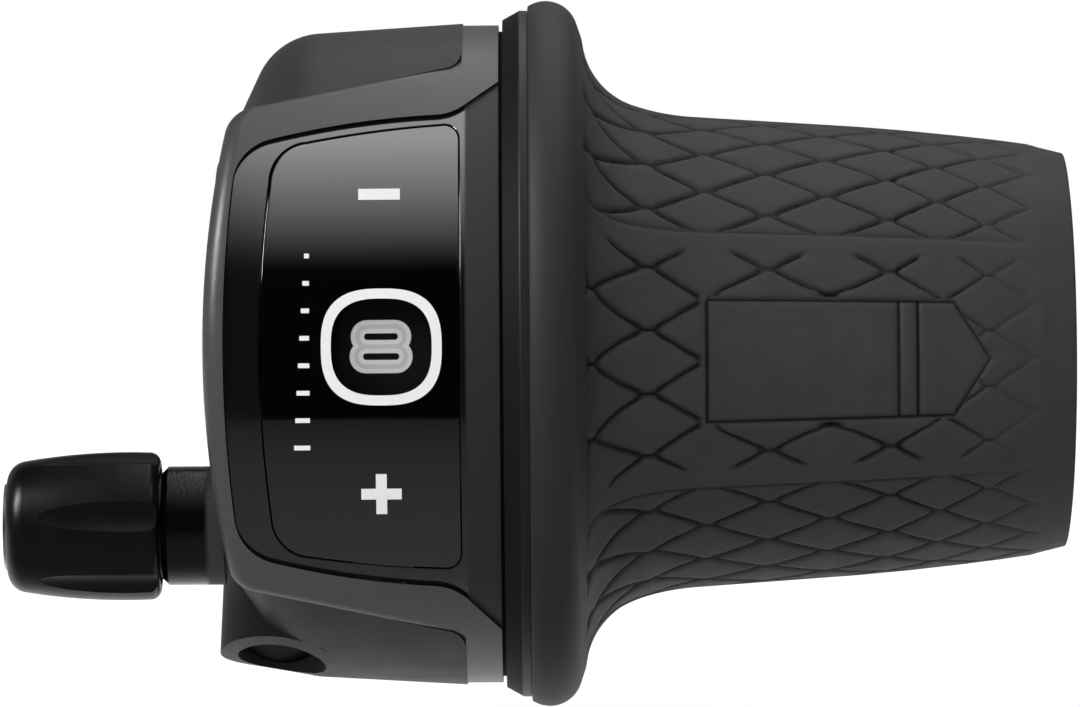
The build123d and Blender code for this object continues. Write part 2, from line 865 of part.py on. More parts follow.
detent_spring.part.label = "detent_spring"
export_step(detent_spring.part, "parts/detent_spring.step")

# Cable guide: a small elbow from the adjuster axis to the tangent of the drum
entry_angle = atan2(adjuster_z, adjuster_y)
touch_angle = entry_angle + acos(cable_radius / adjuster_radius)
touch_point = Vector(0, cable_radius * cos(touch_angle), cable_radius * sin(touch_angle))
cable_run = (touch_point - Vector(0, adjuster_y, adjuster_z)).normalized()
guide_plane = Plane(
    origin=(0, adjuster_y, adjuster_z), x_dir=(1, 0, 0), z_dir=Vector(1, 0, 0).cross(cable_run)
)
with BuildPart() as cable_guide:
    with BuildLine(guide_plane) as guide_path:
        FilletPolyline(
            (chamber_left - guide_root, 0),
            (groove_x, 0),
            (groove_x, guide_bend + guide_end),
            radius=guide_bend,
        )
    with BuildSketch(across_adjuster(chamber_left - guide_root)):
        Circle(guide_radius)
        Circle(guide_radius - guide_wall, mode=Mode.SUBTRACT)
    sweep(path=guide_path.line)

cable_guide.part.label = "cable_guide"
export_step(cable_guide.part, "parts/cable_guide.step")

# Barrel adjuster knob: domed tip, six flutes, pockets for the ferrule, the screw head and the spring
with BuildPart() as adjuster_knob:
    with BuildSketch(adjuster_profile) as knob_section:
        with BuildLine():
            tip = Line((knob_left, 0), (knob_left + knob_tip_dome, knob_tip_radius))
            side = ThreePointArc(tip @ 1, (knob_mid_x, knob_mid_radius), (knob_right, knob_right_radius))
            Polyline(side @ 1, (knob_right, 0), (knob_left, 0))
        make_face()
        fillet(knob_section.vertices().sort_by_distance(tip @ 1)[0], radius=knob_tip_round)
        fillet(knob_section.vertices().sort_by_distance(side @ 1)[0], radius=knob_end_round)
    revolve(axis=adjuster_axis)
    with BuildSketch(across_adjuster(knob_left)):
        with PolarLocations(flute_floor + flute_radius, flute_count, start_angle=flute_turn):
            Circle(flute_radius)
    extrude(amount=knob_right - knob_left, mode=Mode.SUBTRACT)
    with BuildSketch(across_adjuster(knob_left)):
        Circle(seat_radius + seat_fit)
    extrude(amount=seat_right - knob_left, mode=Mode.SUBTRACT)
    with BuildSketch(across_adjuster(knob_left)):
        Circle(cable_hole_radius)
    extrude(amount=knob_right - knob_left, mode=Mode.SUBTRACT)
    with BuildSketch(across_adjuster(screw_head_left)):
        RegularPolygon(screw_head_flats / 2 + slip_fit, 6, major_radius=False)
    extrude(amount=screw_head_height, mode=Mode.SUBTRACT)
    with BuildSketch(across_adjuster(spring_seat_x)):
        Circle(spring_bore_radius)
    extrude(amount=spring_bore_depth, mode=Mode.SUBTRACT)

adjuster_knob.part.label = "adjuster_knob"
export_step(adjuster_knob.part, "parts/adjuster_knob.step")

# Hollow adjuster screw, its hexagon head held in the knob
with BuildPart() as adjuster_screw:
    with BuildSketch(across_adjuster(screw_head_left)):
        RegularPolygon(screw_head_flats / 2, 6, major_radius=False)
    extrude(amount=screw_head_height)
    with BuildSketch(across_adjuster(spring_seat_x)):
        Circle(adjuster_thread_radius)
    extrude(amount=boss_left + adjuster_thread_depth - running_gap - spring_seat_x)
    with BuildSketch(across_adjuster(screw_head_left)):
        Circle(cable_hole_radius)
    extrude(amount=through, mode=Mode.SUBTRACT)

adjuster_screw.part.label = "adjuster_screw"
export_step(adjuster_screw.part, "parts/adjuster_screw.step")

# Coil spring between the knob and the boss
with BuildPart() as adjuster_spring:
    coil_height = spigot_left - spring_seat_x - 2 * spring_wire_radius - 2 * slip_fit
    with BuildLine() as coil:
        Helix(
            pitch=coil_height / spring_turns,
            height=coil_height,
            radius=spring_radius,
            center=(spring_seat_x + spring_wire_radius + slip_fit, adjuster_y, adjuster_z),
            direction=(1, 0, 0),
        )
    with BuildSketch(Plane(origin=coil.line @ 0, z_dir=coil.line % 0)):
        RegularPolygon(spring_wire_radius, spring_wire_sides)
    sweep(path=coil.line, is_frenet=True)

adjuster_spring.part.label = "adjuster_spring"
export_step(adjuster_spring.part, "parts/adjuster_spring.step")

# Ferrule in which the cable casing ends
with BuildPart() as casing_seat:
    with BuildSketch(across_adjuster(knob_left + seat_recess)):
        Circle(seat_radius)
    extrude(amount=seat_right - slip_fit - knob_left - seat_recess)
    with BuildSketch(across_adjuster(knob_left + seat_recess)):
        Circle(casing_radius)
    extrude(amount=seat_right - slip_fit - seat_floor - knob_left - seat_recess, mode=Mode.SUBTRACT)
    with BuildSketch(across_adjuster(knob_left)):
        Circle(cable_hole_radius)
    extrude(amount=through, mode=Mode.SUBTRACT)

casing_seat.part.label = "casing_seat"
export_step(casing_seat.part, "parts/casing_seat.step")


# Outer line of the rubber from the sweep to the end of the tread, lowered by drop
def tread_line(drop):
    sweep = ThreePointArc(
        (sweep_start_x, sweep_start_radius - drop),
        (sweep_mid_x, sweep_mid_radius - drop),
        (sweep_low_x, sweep_low_radius - drop),
    )
    TangentArc(sweep @ 1, (barrel_x, barrel_radius - drop), tangent=sweep % 1)
    Polyline(
        (barrel_x, barrel_radius - drop),
        (barrel_mid_x, barrel_mid_radius - drop),
        (tread_end_x, tread_end_radius - drop),
    )


# Half height of the flat tread pattern at x for an angle from the panel's middle
def tread_height(x, angle):
    taper = (tread_end_radius - barrel_radius) / (tread_end_x - barrel_x)
    return (barrel_radius + taper * (x - barrel_x)) * sin(radians(angle))


panel_angle = 360 / panel_count
diamond_angle = panel_angle / diamonds_per_panel
ridge_angle = degrees(ridge_width / barrel_mid_radius)
edge_angle = (panel_angle - ridge_angle) / 2
tread_length = tread_end_x - tread_start_x
tread_columns = [tread_start_x + share * tread_length for share in column_shares]


# Corners of a panel's field in the flat pattern, drawn in by gap on its long sides and its end
def panel_corners(gap):
    right = tread_end_x - gap
    left_height = tread_height(tread_start_x, edge_angle) - gap
    right_height = tread_height(right, edge_angle) - gap
    return [
        (tread_start_x, left_height),
        (right, right_height),
        (right, -right_height),
        (tread_start_x, -left_height),
    ]


# Flat tread pattern of one panel: rows of diamonds, each drawn in by half a groove
with BuildSketch(front) as panel_tread:
    for row in range(1, len(tread_columns) - 1):
        back, middle, ahead = tread_columns[row - 1 : row + 2]
        count = diamonds_per_panel + 1 - row % 2
        for place in range(count):
            angle = (place - (count - 1) / 2) * diamond_angle
            height = tread_height(middle, angle)
            above = tread_height(middle, angle + diamond_angle / 2) - height
            below = height - tread_height(middle, angle - diamond_angle / 2)
            half_length = (ahead - back) / 2
            half_height = (above + below) / 2
            inset = 1 - groove_width / 2 * hypot(half_length, half_height) / (half_length * half_height)
            with Locations((middle, height)):
                Polygon(
                    (inset * (back - middle), 0),
                    (0, -inset * below),
                    (inset * (ahead - middle), 0),
                    (0, inset * above),
                    align=None,
                )
    with BuildLine():
        Polyline(*panel_corners(0), close=True)
    make_face(mode=Mode.INTERSECT)

# Side panels: the same tread with a fine groove along the ridges
with BuildSketch(front) as side_tread:
    add(panel_tread.sketch_local)
    with BuildLine():
        Polyline(*panel_corners(groove_width), close=True)
    make_face(mode=Mode.INTERSECT)

# Front panel: the same tread round a plain badge field and an arrow
with BuildSketch(front) as front_tread:
    add(panel_tread.sketch_local)
    bar_left = badge_left + badge_length + groove_width
    arrow_left = bar_left + arrow_bar + groove_width
    with BuildLine():
        Polyline(
            (badge_left - groove_width, badge_height / 2 + groove_width),
            (arrow_left + arrow_shoulder + groove_width, badge_height / 2 + groove_width),
            (arrow_left + arrow_shoulder + arrow_tip + 2 * groove_width, 0),
            (arrow_left + arrow_shoulder + groove_width, -badge_height / 2 - groove_width),
            (badge_left - groove_width, -badge_height / 2 - groove_width),
            close=True,
        )
    make_face(mode=Mode.SUBTRACT)
    with Locations((badge_left + badge_length / 2, 0)):
        Rectangle(badge_length, badge_height)
    with Locations((bar_left + arrow_bar / 2, 0)):
        Rectangle(arrow_bar, badge_height)
    with Locations((arrow_left, 0)):
        Polygon(
            (0, badge_height / 2),
            (0, -badge_height / 2),
            (arrow_shoulder, -badge_height / 2),
            (arrow_shoulder + arrow_tip, 0),
            (arrow_shoulder, badge_height / 2),
            align=None,
        )

# Grooves of one panel: a band over the rubber, less the raised pattern
band_start = radians(edge_angle)
band_plane = Plane(origin=(0, 0, 0), x_dir=(1, 0, 0), z_dir=(0, -sin(band_start), -cos(band_start)))
with BuildPart() as groove_band:
    with BuildSketch(band_plane):
        with BuildLine():
            tread_line(groove_depth)
            Polyline(
                (sweep_start_x, sweep_start_radius - groove_depth),
                (sweep_start_x, crest_radius),
                (tread_end_x, crest_radius),
                (tread_end_x, tread_end_radius - groove_depth),
            )
        make_face()
    revolve(axis=Axis.X, revolution_arc=2 * edge_angle)

with BuildPart() as panel_grooves:
    add(groove_band.part)
    extrude(panel_tread.sketch, amount=through, mode=Mode.SUBTRACT)

with BuildPart() as side_grooves:
    add(groove_band.part)
    extrude(side_tread.sketch, amount=through, mode=Mode.SUBTRACT)

with BuildPart() as front_grooves:
    add(groove_band.part)
    extrude(front_tread.sketch, amount=through, mode=Mode.SUBTRACT)

# Rubber sleeve with its flange and tread
with BuildPart() as grip_rubber:
    with BuildSketch(front):
        with BuildLine():
            tread_line(0)
            ThreePointArc(
                (flange_right, crest_start_radius), (crest_x, crest_radius), (shoulder_x, shoulder_radius)
            )
            Line((shoulder_x, shoulder_radius), (sweep_start_x, sweep_start_radius))
            Polyline(
                (tread_end_x, tread_end_radius),
                (sleeve_right, sleeve_end_radius),
                (sleeve_right, tube_outer),
                (flange_right, tube_outer),
                (flange_right, crest_start_radius),
            )
        make_face()
    revolve(axis=Axis.X)
    with BuildSketch(across_bar(flange_right)):
        with PolarLocations(tube_outer, rib_count):
            Rectangle(2 * rib_height, rib_width)
    extrude(amount=tube_right - rib_end_margin - flange_right, mode=Mode.SUBTRACT)
    for panel in range(panel_count):
        plain_grooves = front_grooves.part if panel == 0 else panel_grooves.part
        grooves = side_grooves.part if panel % 2 else plain_grooves
        add(grooves.rotate(Axis.X, panel * panel_angle - panel_turn), mode=Mode.SUBTRACT)

grip_rubber.part.label = "grip_rubber"
export_step(grip_rubber.part, "parts/grip_rubber.step")
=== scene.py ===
import math

import bpy
import numpy as np
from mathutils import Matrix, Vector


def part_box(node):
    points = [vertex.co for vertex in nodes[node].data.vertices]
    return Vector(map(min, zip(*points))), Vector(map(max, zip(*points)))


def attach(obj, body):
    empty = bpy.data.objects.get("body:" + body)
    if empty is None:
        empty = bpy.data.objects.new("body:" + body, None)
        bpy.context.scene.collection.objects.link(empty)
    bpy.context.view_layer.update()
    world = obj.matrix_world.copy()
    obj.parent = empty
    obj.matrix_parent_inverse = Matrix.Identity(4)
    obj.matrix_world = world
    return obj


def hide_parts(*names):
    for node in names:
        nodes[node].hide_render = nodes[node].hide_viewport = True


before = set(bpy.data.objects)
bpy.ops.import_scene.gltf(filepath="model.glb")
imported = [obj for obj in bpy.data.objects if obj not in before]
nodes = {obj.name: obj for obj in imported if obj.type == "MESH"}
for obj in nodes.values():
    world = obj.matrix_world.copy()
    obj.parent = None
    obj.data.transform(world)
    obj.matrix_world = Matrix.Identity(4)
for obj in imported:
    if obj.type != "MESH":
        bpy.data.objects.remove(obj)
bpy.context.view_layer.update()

mm = 0.001
print("twist shifter: frame loaded,", len(nodes), "nodes")


# small helpers

def linearColour(hexText):
    # sRGB to linear: c / 12.92 below 0.04045, else ((c + 0.055) / 1.055) ^ 2.4
    c = np.array([int(hexText[k:k + 2], 16) for k in (1, 3, 5)]) / 255
    linear = np.where(c <= 0.04045, c / 12.92, ((c + 0.055) / 1.055) ** 2.4)
    return (*linear.tolist(), 1.0)


def addNode(tree, kind, inputs=None, **settings):
    # adds one shader node; inputs that are sockets are linked, the others are values
    node = tree.nodes.new("ShaderNode" + kind)
    for key, value in settings.items():
        setattr(node, key, value)
    for key, value in (inputs or {}).items():
        if isinstance(value, bpy.types.NodeSocket):
            tree.links.new(value, node.inputs[key])
        else:
            node.inputs[key].default_value = value
    return node


def newMaterial(name):
    # an empty material, and its tree for the nodes
    material = bpy.data.materials.new(name)
    material.use_nodes = True
    tree = material.node_tree
    tree.nodes.clear()
    return material, tree


def closeMaterial(tree, shader, **values):
    # shader values that are the same all over go on the shader's own sockets
    for key, value in values.items():
        shader.inputs[key.replace("_", " ")].default_value = value
    addNode(tree, "OutputMaterial", {"Surface": shader.outputs[0]})


def meshFromArrays(name, points, faces):
    # points in millimetres as rows of x, y, z; faces as rows of corner numbers
    mesh = bpy.data.meshes.new(name)
    mesh.vertices.add(len(points))
    mesh.vertices.foreach_set("co", (points * mm).astype(np.float32).ravel())
    mesh.loops.add(faces.size)
    mesh.loops.foreach_set("vertex_index", faces.astype(np.int32).ravel())
    mesh.polygons.add(len(faces))
    mesh.polygons.foreach_set("loop_start", np.arange(0, faces.size, faces.shape[1], dtype=np.int32))
    mesh.update(calc_edges=True)
    mesh.validate()
    return mesh


def addObject(name, data):
    # a new object in the scene
    thing = bpy.data.objects.new(name, data)
    bpy.context.scene.collection.objects.link(thing)
    return thing


def addPiece(name, mesh, material, body, smooth=True):
    # a visible piece that rides on a body and stands in a material slot
    mesh.polygons.foreach_set("use_smooth", np.full(len(mesh.polygons), smooth))
    mesh.materials.append(material)
    piece = addObject(name, mesh)
    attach(piece, body)
    return piece


def gridFaces(rows, columns, closeRows, closeColumns):
    # quads of a grid of rows x columns, joined end to end where a direction is closed
    i, j = np.meshgrid(np.arange(rows if closeRows else rows - 1),
                       np.arange(columns if closeColumns else columns - 1), indexing="ij")
    a = i * columns + j
    b = i * columns + (j + 1) % columns
    c = ((i + 1) % rows) * columns + (j + 1) % columns
    d = ((i + 1) % rows) * columns + j
    return np.stack([a, b, c, d], -1).reshape(-1, 4)


def unitRows(rows):
    # each row divided by its length
    return rows / np.linalg.norm(rows, axis=1)[:, None]


def arcThrough(first, middle, last, steps):
    # points on the circle through three points: the centre is where the two chords' bisectors meet
    p, q, r = np.array(first, float), np.array(middle, float), np.array(last, float)
    matrix = 2 * np.array([q - p, r - p])
    centre = np.linalg.solve(matrix, [q @ q - p @ p, r @ r - p @ p])
    angles = np.unwrap([math.atan2(*(point - centre)[::-1]) for point in (p, q, r)])
    t = np.linspace(angles[0], angles[2], steps)
    return centre + np.linalg.norm(p - centre) * np.stack([np.cos(t), np.sin(t)], 1)


def roundedOutline(corners, radii, bows, arcSteps=12, sideSteps=24):
    # closed outline, counter-clockwise: sides bowed out by a parabola of height bow, corners cut back
    # by radius x tan(half the turn) and joined by a circular arc, which lies outside where the outline turns in
    corners, radii, bows = (np.array(values, float) for values in (corners, radii, bows))
    side = np.roll(corners, -1, 0) - corners
    length = np.linalg.norm(side, axis=1)
    along = side / length[:, None]
    out = np.stack([along[:, 1], -along[:, 0]], 1)
    tilt = (4 * bows / length)[:, None] * out
    leave, arrive = unitRows(along + tilt), unitRows(np.roll(along - tilt, 1, 0))
    turn = np.arccos(np.clip((arrive * leave).sum(1), -1, 1))
    cut = radii * np.tan(turn / 2)
    hand = np.copysign(1, arrive[:, 0] * leave[:, 1] - arrive[:, 1] * leave[:, 0])
    inward = hand[:, None] * np.stack([-arrive[:, 1], arrive[:, 0]], 1)
    centre = corners - arrive * cut[:, None] + radii[:, None] * inward
    parts = []
    for k, after in enumerate(np.roll(np.arange(len(corners)), -1)):
        t = np.linspace(0, turn[k], arcSteps)[:, None]
        parts.append(centre[k] + radii[k] * (np.sin(t) * arrive[k] - np.cos(t) * inward[k]))
        s = np.linspace(cut[k] / length[k], 1 - cut[after] / length[k], sideSteps)[1:-1, None]
        parts.append(corners[k] + s * side[k] + 4 * bows[k] * s * (1 - s) * out[k])
    return np.concatenate(parts)


def onDrum(x, z, radius):
    # a point of the front view carried back onto a cylinder about the bar: y = -sqrt(radius^2 - z^2)
    return np.stack([x, -np.sqrt(radius ** 2 - z ** 2), z], -1)


# camera, matched to the photograph

shot = {
    "distance": 580.0, "aimX": 20.56, "aimZ": 0.0, "lens": 241.7, "rollDegrees": 0.43, "sensor": 36.0,
    "clip": (0.01, 20.0),
}
cameraData = bpy.data.cameras.new("camera")
cameraData.lens = shot["lens"]
cameraData.sensor_width = shot["sensor"]
cameraData.clip_start, cameraData.clip_end = shot["clip"]
camera = addObject("camera", cameraData)
camera.location = (shot["aimX"] * mm, -shot["distance"] * mm, shot["aimZ"] * mm)
camera.rotation_euler = (math.radians(90), math.radians(shot["rollDegrees"]), 0)
bpy.context.scene.camera = camera
bpy.context.scene.view_settings.view_transform = "Standard"
print("twist shifter: camera set")


# finishes

# most values of the noise lie between these two
noiseLow, noiseHigh = 0.3, 0.7

# Moulded plastics and rubber: a faint mottle in the colour and gloss, and the fine grain of a
# spark-eroded mould. Sizes are in millimetres; where the real grain is finer than the render can
# show it is drawn coarser. edge holds a second tone, roughness and shine, which come in between two places
# along the bar and stay beyond the second; on every finish but the glossy bezel's that tone is painted shade.
# groove paints shade on what the tread's groove attribute marks.
mouldedFinishes = {
    # glass-filled nylon, spark-eroded mould: dull black with a fine even grain; the boss smoother, and painted darker
    # as shade
    "glassFilledNylonBlack": {"dark": "#303032", "light": "#38383a", "mottle": 3.0, "grain": 0.22, "height": 0.010,
                              "rough": (0.5, 0.6), "ior": 1.53, "shine": 0.2,
                              "edge": ("#070708", 0.2, 0.35, -5.1, -5.5)},
    # ABS with a satin mould: grey, soft highlight; painted shade makes the step that faces the flange near black
    "satinAbsGrey": {"dark": "#454546", "light": "#4d4d4e", "mottle": 4.0, "grain": 0.18, "height": 0.006,
                     "rough": (0.36, 0.44), "ior": 1.54, "shine": 0.3, "edge": ("#0b0b0c", 0.6, 0.02, 17.42, 17.47)},
    # ABS, polished mould: near black and glossy like the panel, dull grey on the side of the grip
    "glossAbsBlack": {"dark": "#0d0d0e", "light": "#101011", "mottle": 4.0, "grain": 0.3, "height": 0.002,
                      "rough": (0.12, 0.16), "ior": 1.7, "shine": 0.8, "edge": ("#2a2a2b", 0.5, 0.15, 14.75, 15.0)},
    # nylon of the tube: satin black, dull on the flange's sloped side, which faces the housing, and painted darker
    # there as shade
    "nylonTubeBlack": {"dark": "#1d1d1e", "light": "#232324", "mottle": 3.0, "grain": 0.20, "height": 0.006,
                       "rough": (0.44, 0.52), "ior": 1.53, "shine": 0.2, "edge": ("#19191a", 0.6, 0.05, 19.1, 18.95)},
    # thermoplastic rubber: matte, slightly mottled, fine moulded tooth, painted shade in the grooves
    "thermoplasticRubber": {"dark": "#343435", "light": "#3e3e3f", "mottle": 1.8, "grain": 0.16, "height": 0.014,
                            "rough": (0.6, 0.72), "ior": 1.5, "shine": 0.2, "groove": "#131314",
                            # painted shade: darker on the crest toward the flange
                            "edge": ("#2d2d2e", 0.6, 0.2, 24.6, 23.4)},
    # acetal knob: near black, soft gloss
    "acetalBlack": {"dark": "#0b0b0c", "light": "#0f0f10", "mottle": 3.0, "grain": 0.5, "height": 0.003,
                    "rough": (0.3, 0.36), "ior": 1.48, "shine": 0.2},
    # natural acetal of the drum and washer: waxy off-white
    "acetalNatural": {"dark": "#d2d0c6", "light": "#dddbd2", "mottle": 3.0, "grain": 0.4, "height": 0.003,
                      "rough": (0.35, 0.42), "ior": 1.48, "shine": 0.5},
    # dial: black ABS, dull
    "dialAbsBlack": {"dark": "#0d0d0e", "light": "#111112", "mottle": 3.0, "grain": 0.2, "height": 0.004,
                     "rough": (0.5, 0.6), "ior": 1.54, "shine": 0.15},
}


def mouldedFinish(name, settings):
    # colour = mottle between dark and light, then the edge's tone (painted shade on most finishes), then the groove's
    # painted shade; the grain is a bump
    material, tree = newMaterial(name)
    place = addNode(tree, "TexCoord").outputs["Object"]
    mottle = addNode(tree, "TexNoise", {"Vector": place, "Scale": 1 / (settings["mottle"] * mm), "Detail": 3.0,
                                        "Roughness": 0.55}).outputs[0]
    colour = addNode(tree, "Mix", {0: mottle, 6: linearColour(settings["dark"]), 7: linearColour(settings["light"])},
                     data_type="RGBA").outputs[2]
    low, high = settings["rough"]
    rough = addNode(tree, "MapRange", {"Value": mottle, "From Min": noiseLow, "From Max": noiseHigh, "To Min": low,
                                       "To Max": high}).outputs[0]
    if "edge" in settings:
        # second tone: painted shade on the boss, the cover's step, the tube's flange and the rubber's crest; the
        # bezel's own dull grey
        tone, dullness, gleam, start, end = settings["edge"]
        along = addNode(tree, "SeparateXYZ", {0: place}).outputs[0]
        share = addNode(tree, "MapRange", {"Value": along, "From Min": start * mm, "From Max": end * mm,
                                           "To Min": 0.0, "To Max": 1.0}).outputs[0]
        colour = addNode(tree, "Mix", {0: share, 6: colour, 7: linearColour(tone)}, data_type="RGBA").outputs[2]
        rough = addNode(tree, "Mix", {0: share, 2: rough, 3: dullness}, data_type="FLOAT").outputs[0]
        shine = addNode(tree, "Mix", {0: share, 2: settings["shine"], 3: gleam}, data_type="FLOAT").outputs[0]
    # painted shade in the tread's grooves, as strong as the groove attribute says
    if "groove" in settings:
        paintedGrooveShade = addNode(tree, "Attribute", attribute_name="groove").outputs["Fac"]
        colour = addNode(tree, "Mix", {0: paintedGrooveShade, 6: colour, 7: linearColour(settings["groove"])},
                         data_type="RGBA").outputs[2]
    grain = addNode(tree, "TexNoise", {"Vector": place, "Scale": 1 / (settings["grain"] * mm), "Detail": 2.0,
                                       "Roughness": 0.6}).outputs[0]
    bump = addNode(tree, "Bump", {"Height": grain, "Strength": 1.0, "Distance": settings["height"] * mm}).outputs[0]
    shader = addNode(tree, "BsdfPrincipled", {"Base Color": colour, "Roughness": rough, "Normal": bump})
    if "edge" in settings:
        tree.links.new(shine, shader.inputs["Specular IOR Level"])
    closeMaterial(tree, shader, IOR=settings["ior"], Specular_IOR_Level=settings["shine"])
    return material


# Metals: colour of the metal, fine streaks round the bar's axis where it was turned or drawn. Streaks are a
# few tenths of a millimetre wide, and round the bar the noise changes acrossScale times in a metre
acrossScale = 60.0
metalFinishes = {
    # zinc plate over steel: pale cool grey with a soft sheen
    "zincPlatedSteel": {"dark": "#a2a4a8", "light": "#b9bbbf", "streak": 0.6, "height": 0.002, "rough": (0.3, 0.4)},
    # drawn spring steel: mid grey, bright, fine streaks
    "springSteel": {"dark": "#8b8d91", "light": "#a3a5a9", "streak": 0.4, "height": 0.001, "rough": (0.22, 0.3)},
    # stamped sheet steel: mid grey, a little duller than the springs
    "stampedSteel": {"dark": "#96989c", "light": "#adafb3", "streak": 0.5, "height": 0.002, "rough": (0.28, 0.38)},
    # drawn brass tube: warm yellow with a clear sheen
    "drawnBrass": {"dark": "#b08d4a", "light": "#c9a862", "streak": 0.5, "height": 0.001, "rough": (0.22, 0.32)},
    # steel blackened in a hot bath: near black, low sheen
    "blackOxideSteel": {"dark": "#19191a", "light": "#242425", "streak": 0.5, "height": 0.002, "rough": (0.35, 0.45)},
    # turned aluminium: pale, with fine turning lines
    "turnedAluminium": {"dark": "#b5b7ba", "light": "#cfd1d4", "streak": 0.25, "height": 0.003, "rough": (0.25, 0.34)},
}


def metalFinish(name, settings):
    # one stretched noise gives the colour between dark and light, the roughness and the bump
    material, tree = newMaterial(name)
    place = addNode(tree, "TexCoord").outputs["Object"]
    scale = (1 / (settings["streak"] * mm), acrossScale, acrossScale)
    stretched = addNode(tree, "Mapping", {"Vector": place, "Scale": scale}).outputs[0]
    lines = addNode(tree, "TexNoise", {"Vector": stretched, "Scale": 1.0, "Detail": 4.0,
                                       "Roughness": 0.65}).outputs[0]
    colour = addNode(tree, "Mix", {0: lines, 6: linearColour(settings["dark"]), 7: linearColour(settings["light"])},
                     data_type="RGBA").outputs[2]
    low, high = settings["rough"]
    rough = addNode(tree, "MapRange", {"Value": lines, "From Min": noiseLow, "From Max": noiseHigh, "To Min": low,
                                       "To Max": high}).outputs[0]
    bump = addNode(tree, "Bump", {"Height": lines, "Strength": 1.0, "Distance": settings["height"] * mm}).outputs[0]
    shader = addNode(tree, "BsdfPrincipled", {"Base Color": colour, "Roughness": rough, "Normal": bump})
    closeMaterial(tree, shader, Metallic=1.0)
    return material


# Polished plastics: one soft noise gives a haze in the roughness, and orange peel where there is a height
polishedFinishes = {
    # hard-coated black acrylic: deep black, clear reflections with the least orange peel
    "polishedAcrylicBlack": {"colour": "#040405", "haze": 7.0, "height": 0.006, "rough": (0.05, 0.08),
                             "values": {"IOR": 1.75, "Specular_IOR_Level": 0.85}},
    # clear polycarbonate: faint grey, see-through
    "clearPolycarbonate": {"colour": "#060606", "haze": 5.0, "rough": (0.03, 0.06),
                           "values": {"IOR": 1.58, "Alpha": 0.07}},
}


def polishedFinish(name, settings):
    # roughness = haze between its two ends, over one colour
    material, tree = newMaterial(name)
    place = addNode(tree, "TexCoord").outputs["Object"]
    haze = addNode(tree, "TexNoise", {"Vector": place, "Scale": 1 / (settings["haze"] * mm), "Detail": 1.0}).outputs[0]
    low, high = settings["rough"]
    rough = addNode(tree, "MapRange", {"Value": haze, "From Min": noiseLow, "From Max": noiseHigh, "To Min": low,
                                       "To Max": high}).outputs[0]
    shader = addNode(tree, "BsdfPrincipled", {"Roughness": rough})
    if "height" in settings:
        distance = settings["height"] * mm
        bump = addNode(tree, "Bump", {"Height": haze, "Strength": 1.0, "Distance": distance}).outputs[0]
        tree.links.new(bump, shader.inputs["Normal"])
    closeMaterial(tree, shader, Base_Color=linearColour(settings["colour"]), **settings["values"])
    return material


# Pad-printed inks: flat, slightly uneven cover
inkFinishes = {
    # white ink: dull and opaque
    "padPrintWhite": {"dark": "#f0f0ee", "light": "#f8f8f6", "cover": 0.4, "rough": 0.45},
    # silver ink: pale grey, a little smoother than the white
    "padPrintSilver": {"dark": "#dedfdf", "light": "#e8e8e8", "cover": 0.4, "rough": 0.4},
    # grey ink: the tone of a thin coat
    "padPrintGrey": {"dark": "#c5c6c6", "light": "#cfd0d0", "cover": 0.4, "rough": 0.4},
}


def inkFinish(name, settings):
    # colour = noise between dark and light
    material, tree = newMaterial(name)
    place = addNode(tree, "TexCoord").outputs["Object"]
    cover = addNode(tree, "TexNoise", {"Vector": place, "Scale": 1 / (settings["cover"] * mm),
                                       "Detail": 2.0}).outputs[0]
    colour = addNode(tree, "Mix", {0: cover, 6: linearColour(settings["dark"]), 7: linearColour(settings["light"])},
                     data_type="RGBA").outputs[2]
    shader = addNode(tree, "BsdfPrincipled", {"Base Color": colour})
    closeMaterial(tree, shader, Roughness=settings["rough"], IOR=1.5)
    return material


makers = [(mouldedFinish, mouldedFinishes), (metalFinish, metalFinishes), (polishedFinish, polishedFinishes),
          (inkFinish, inkFinishes)]
finishes = {name: make(name, settings) for make, group in makers for name, settings in group.items()}

nodeFinishes = {
    "main_housing": "glassFilledNylonBlack", "front_cover": "satinAbsGrey", "window_bezel": "glossAbsBlack",
    "lens_panel": "polishedAcrylicBlack", "window_pane": "clearPolycarbonate", "cover_screws": "zincPlatedSteel",
    "clamp_screw": "blackOxideSteel", "clamp_nut": "zincPlatedSteel", "cable_guide": "drawnBrass",
    "detent_spring": "springSteel", "grip_tube": "nylonTubeBlack", "grip_rubber": "thermoplasticRubber",
    "cable_drum": "acetalNatural", "number_dial": "dialAbsBlack", "index_ring": "stampedSteel",
    "thrust_washer": "acetalNatural", "drum_circlip": "springSteel", "adjuster_knob": "acetalBlack",
    "adjuster_screw": "turnedAluminium", "adjuster_spring": "springSteel", "casing_seat": "turnedAluminium",
}
for node, finish in nodeFinishes.items():
    nodes[node].data.materials.clear()
    nodes[node].data.materials.append(finishes[finish])
print("twist shifter: finishes made")


# rubber sleeve with its diamond tread

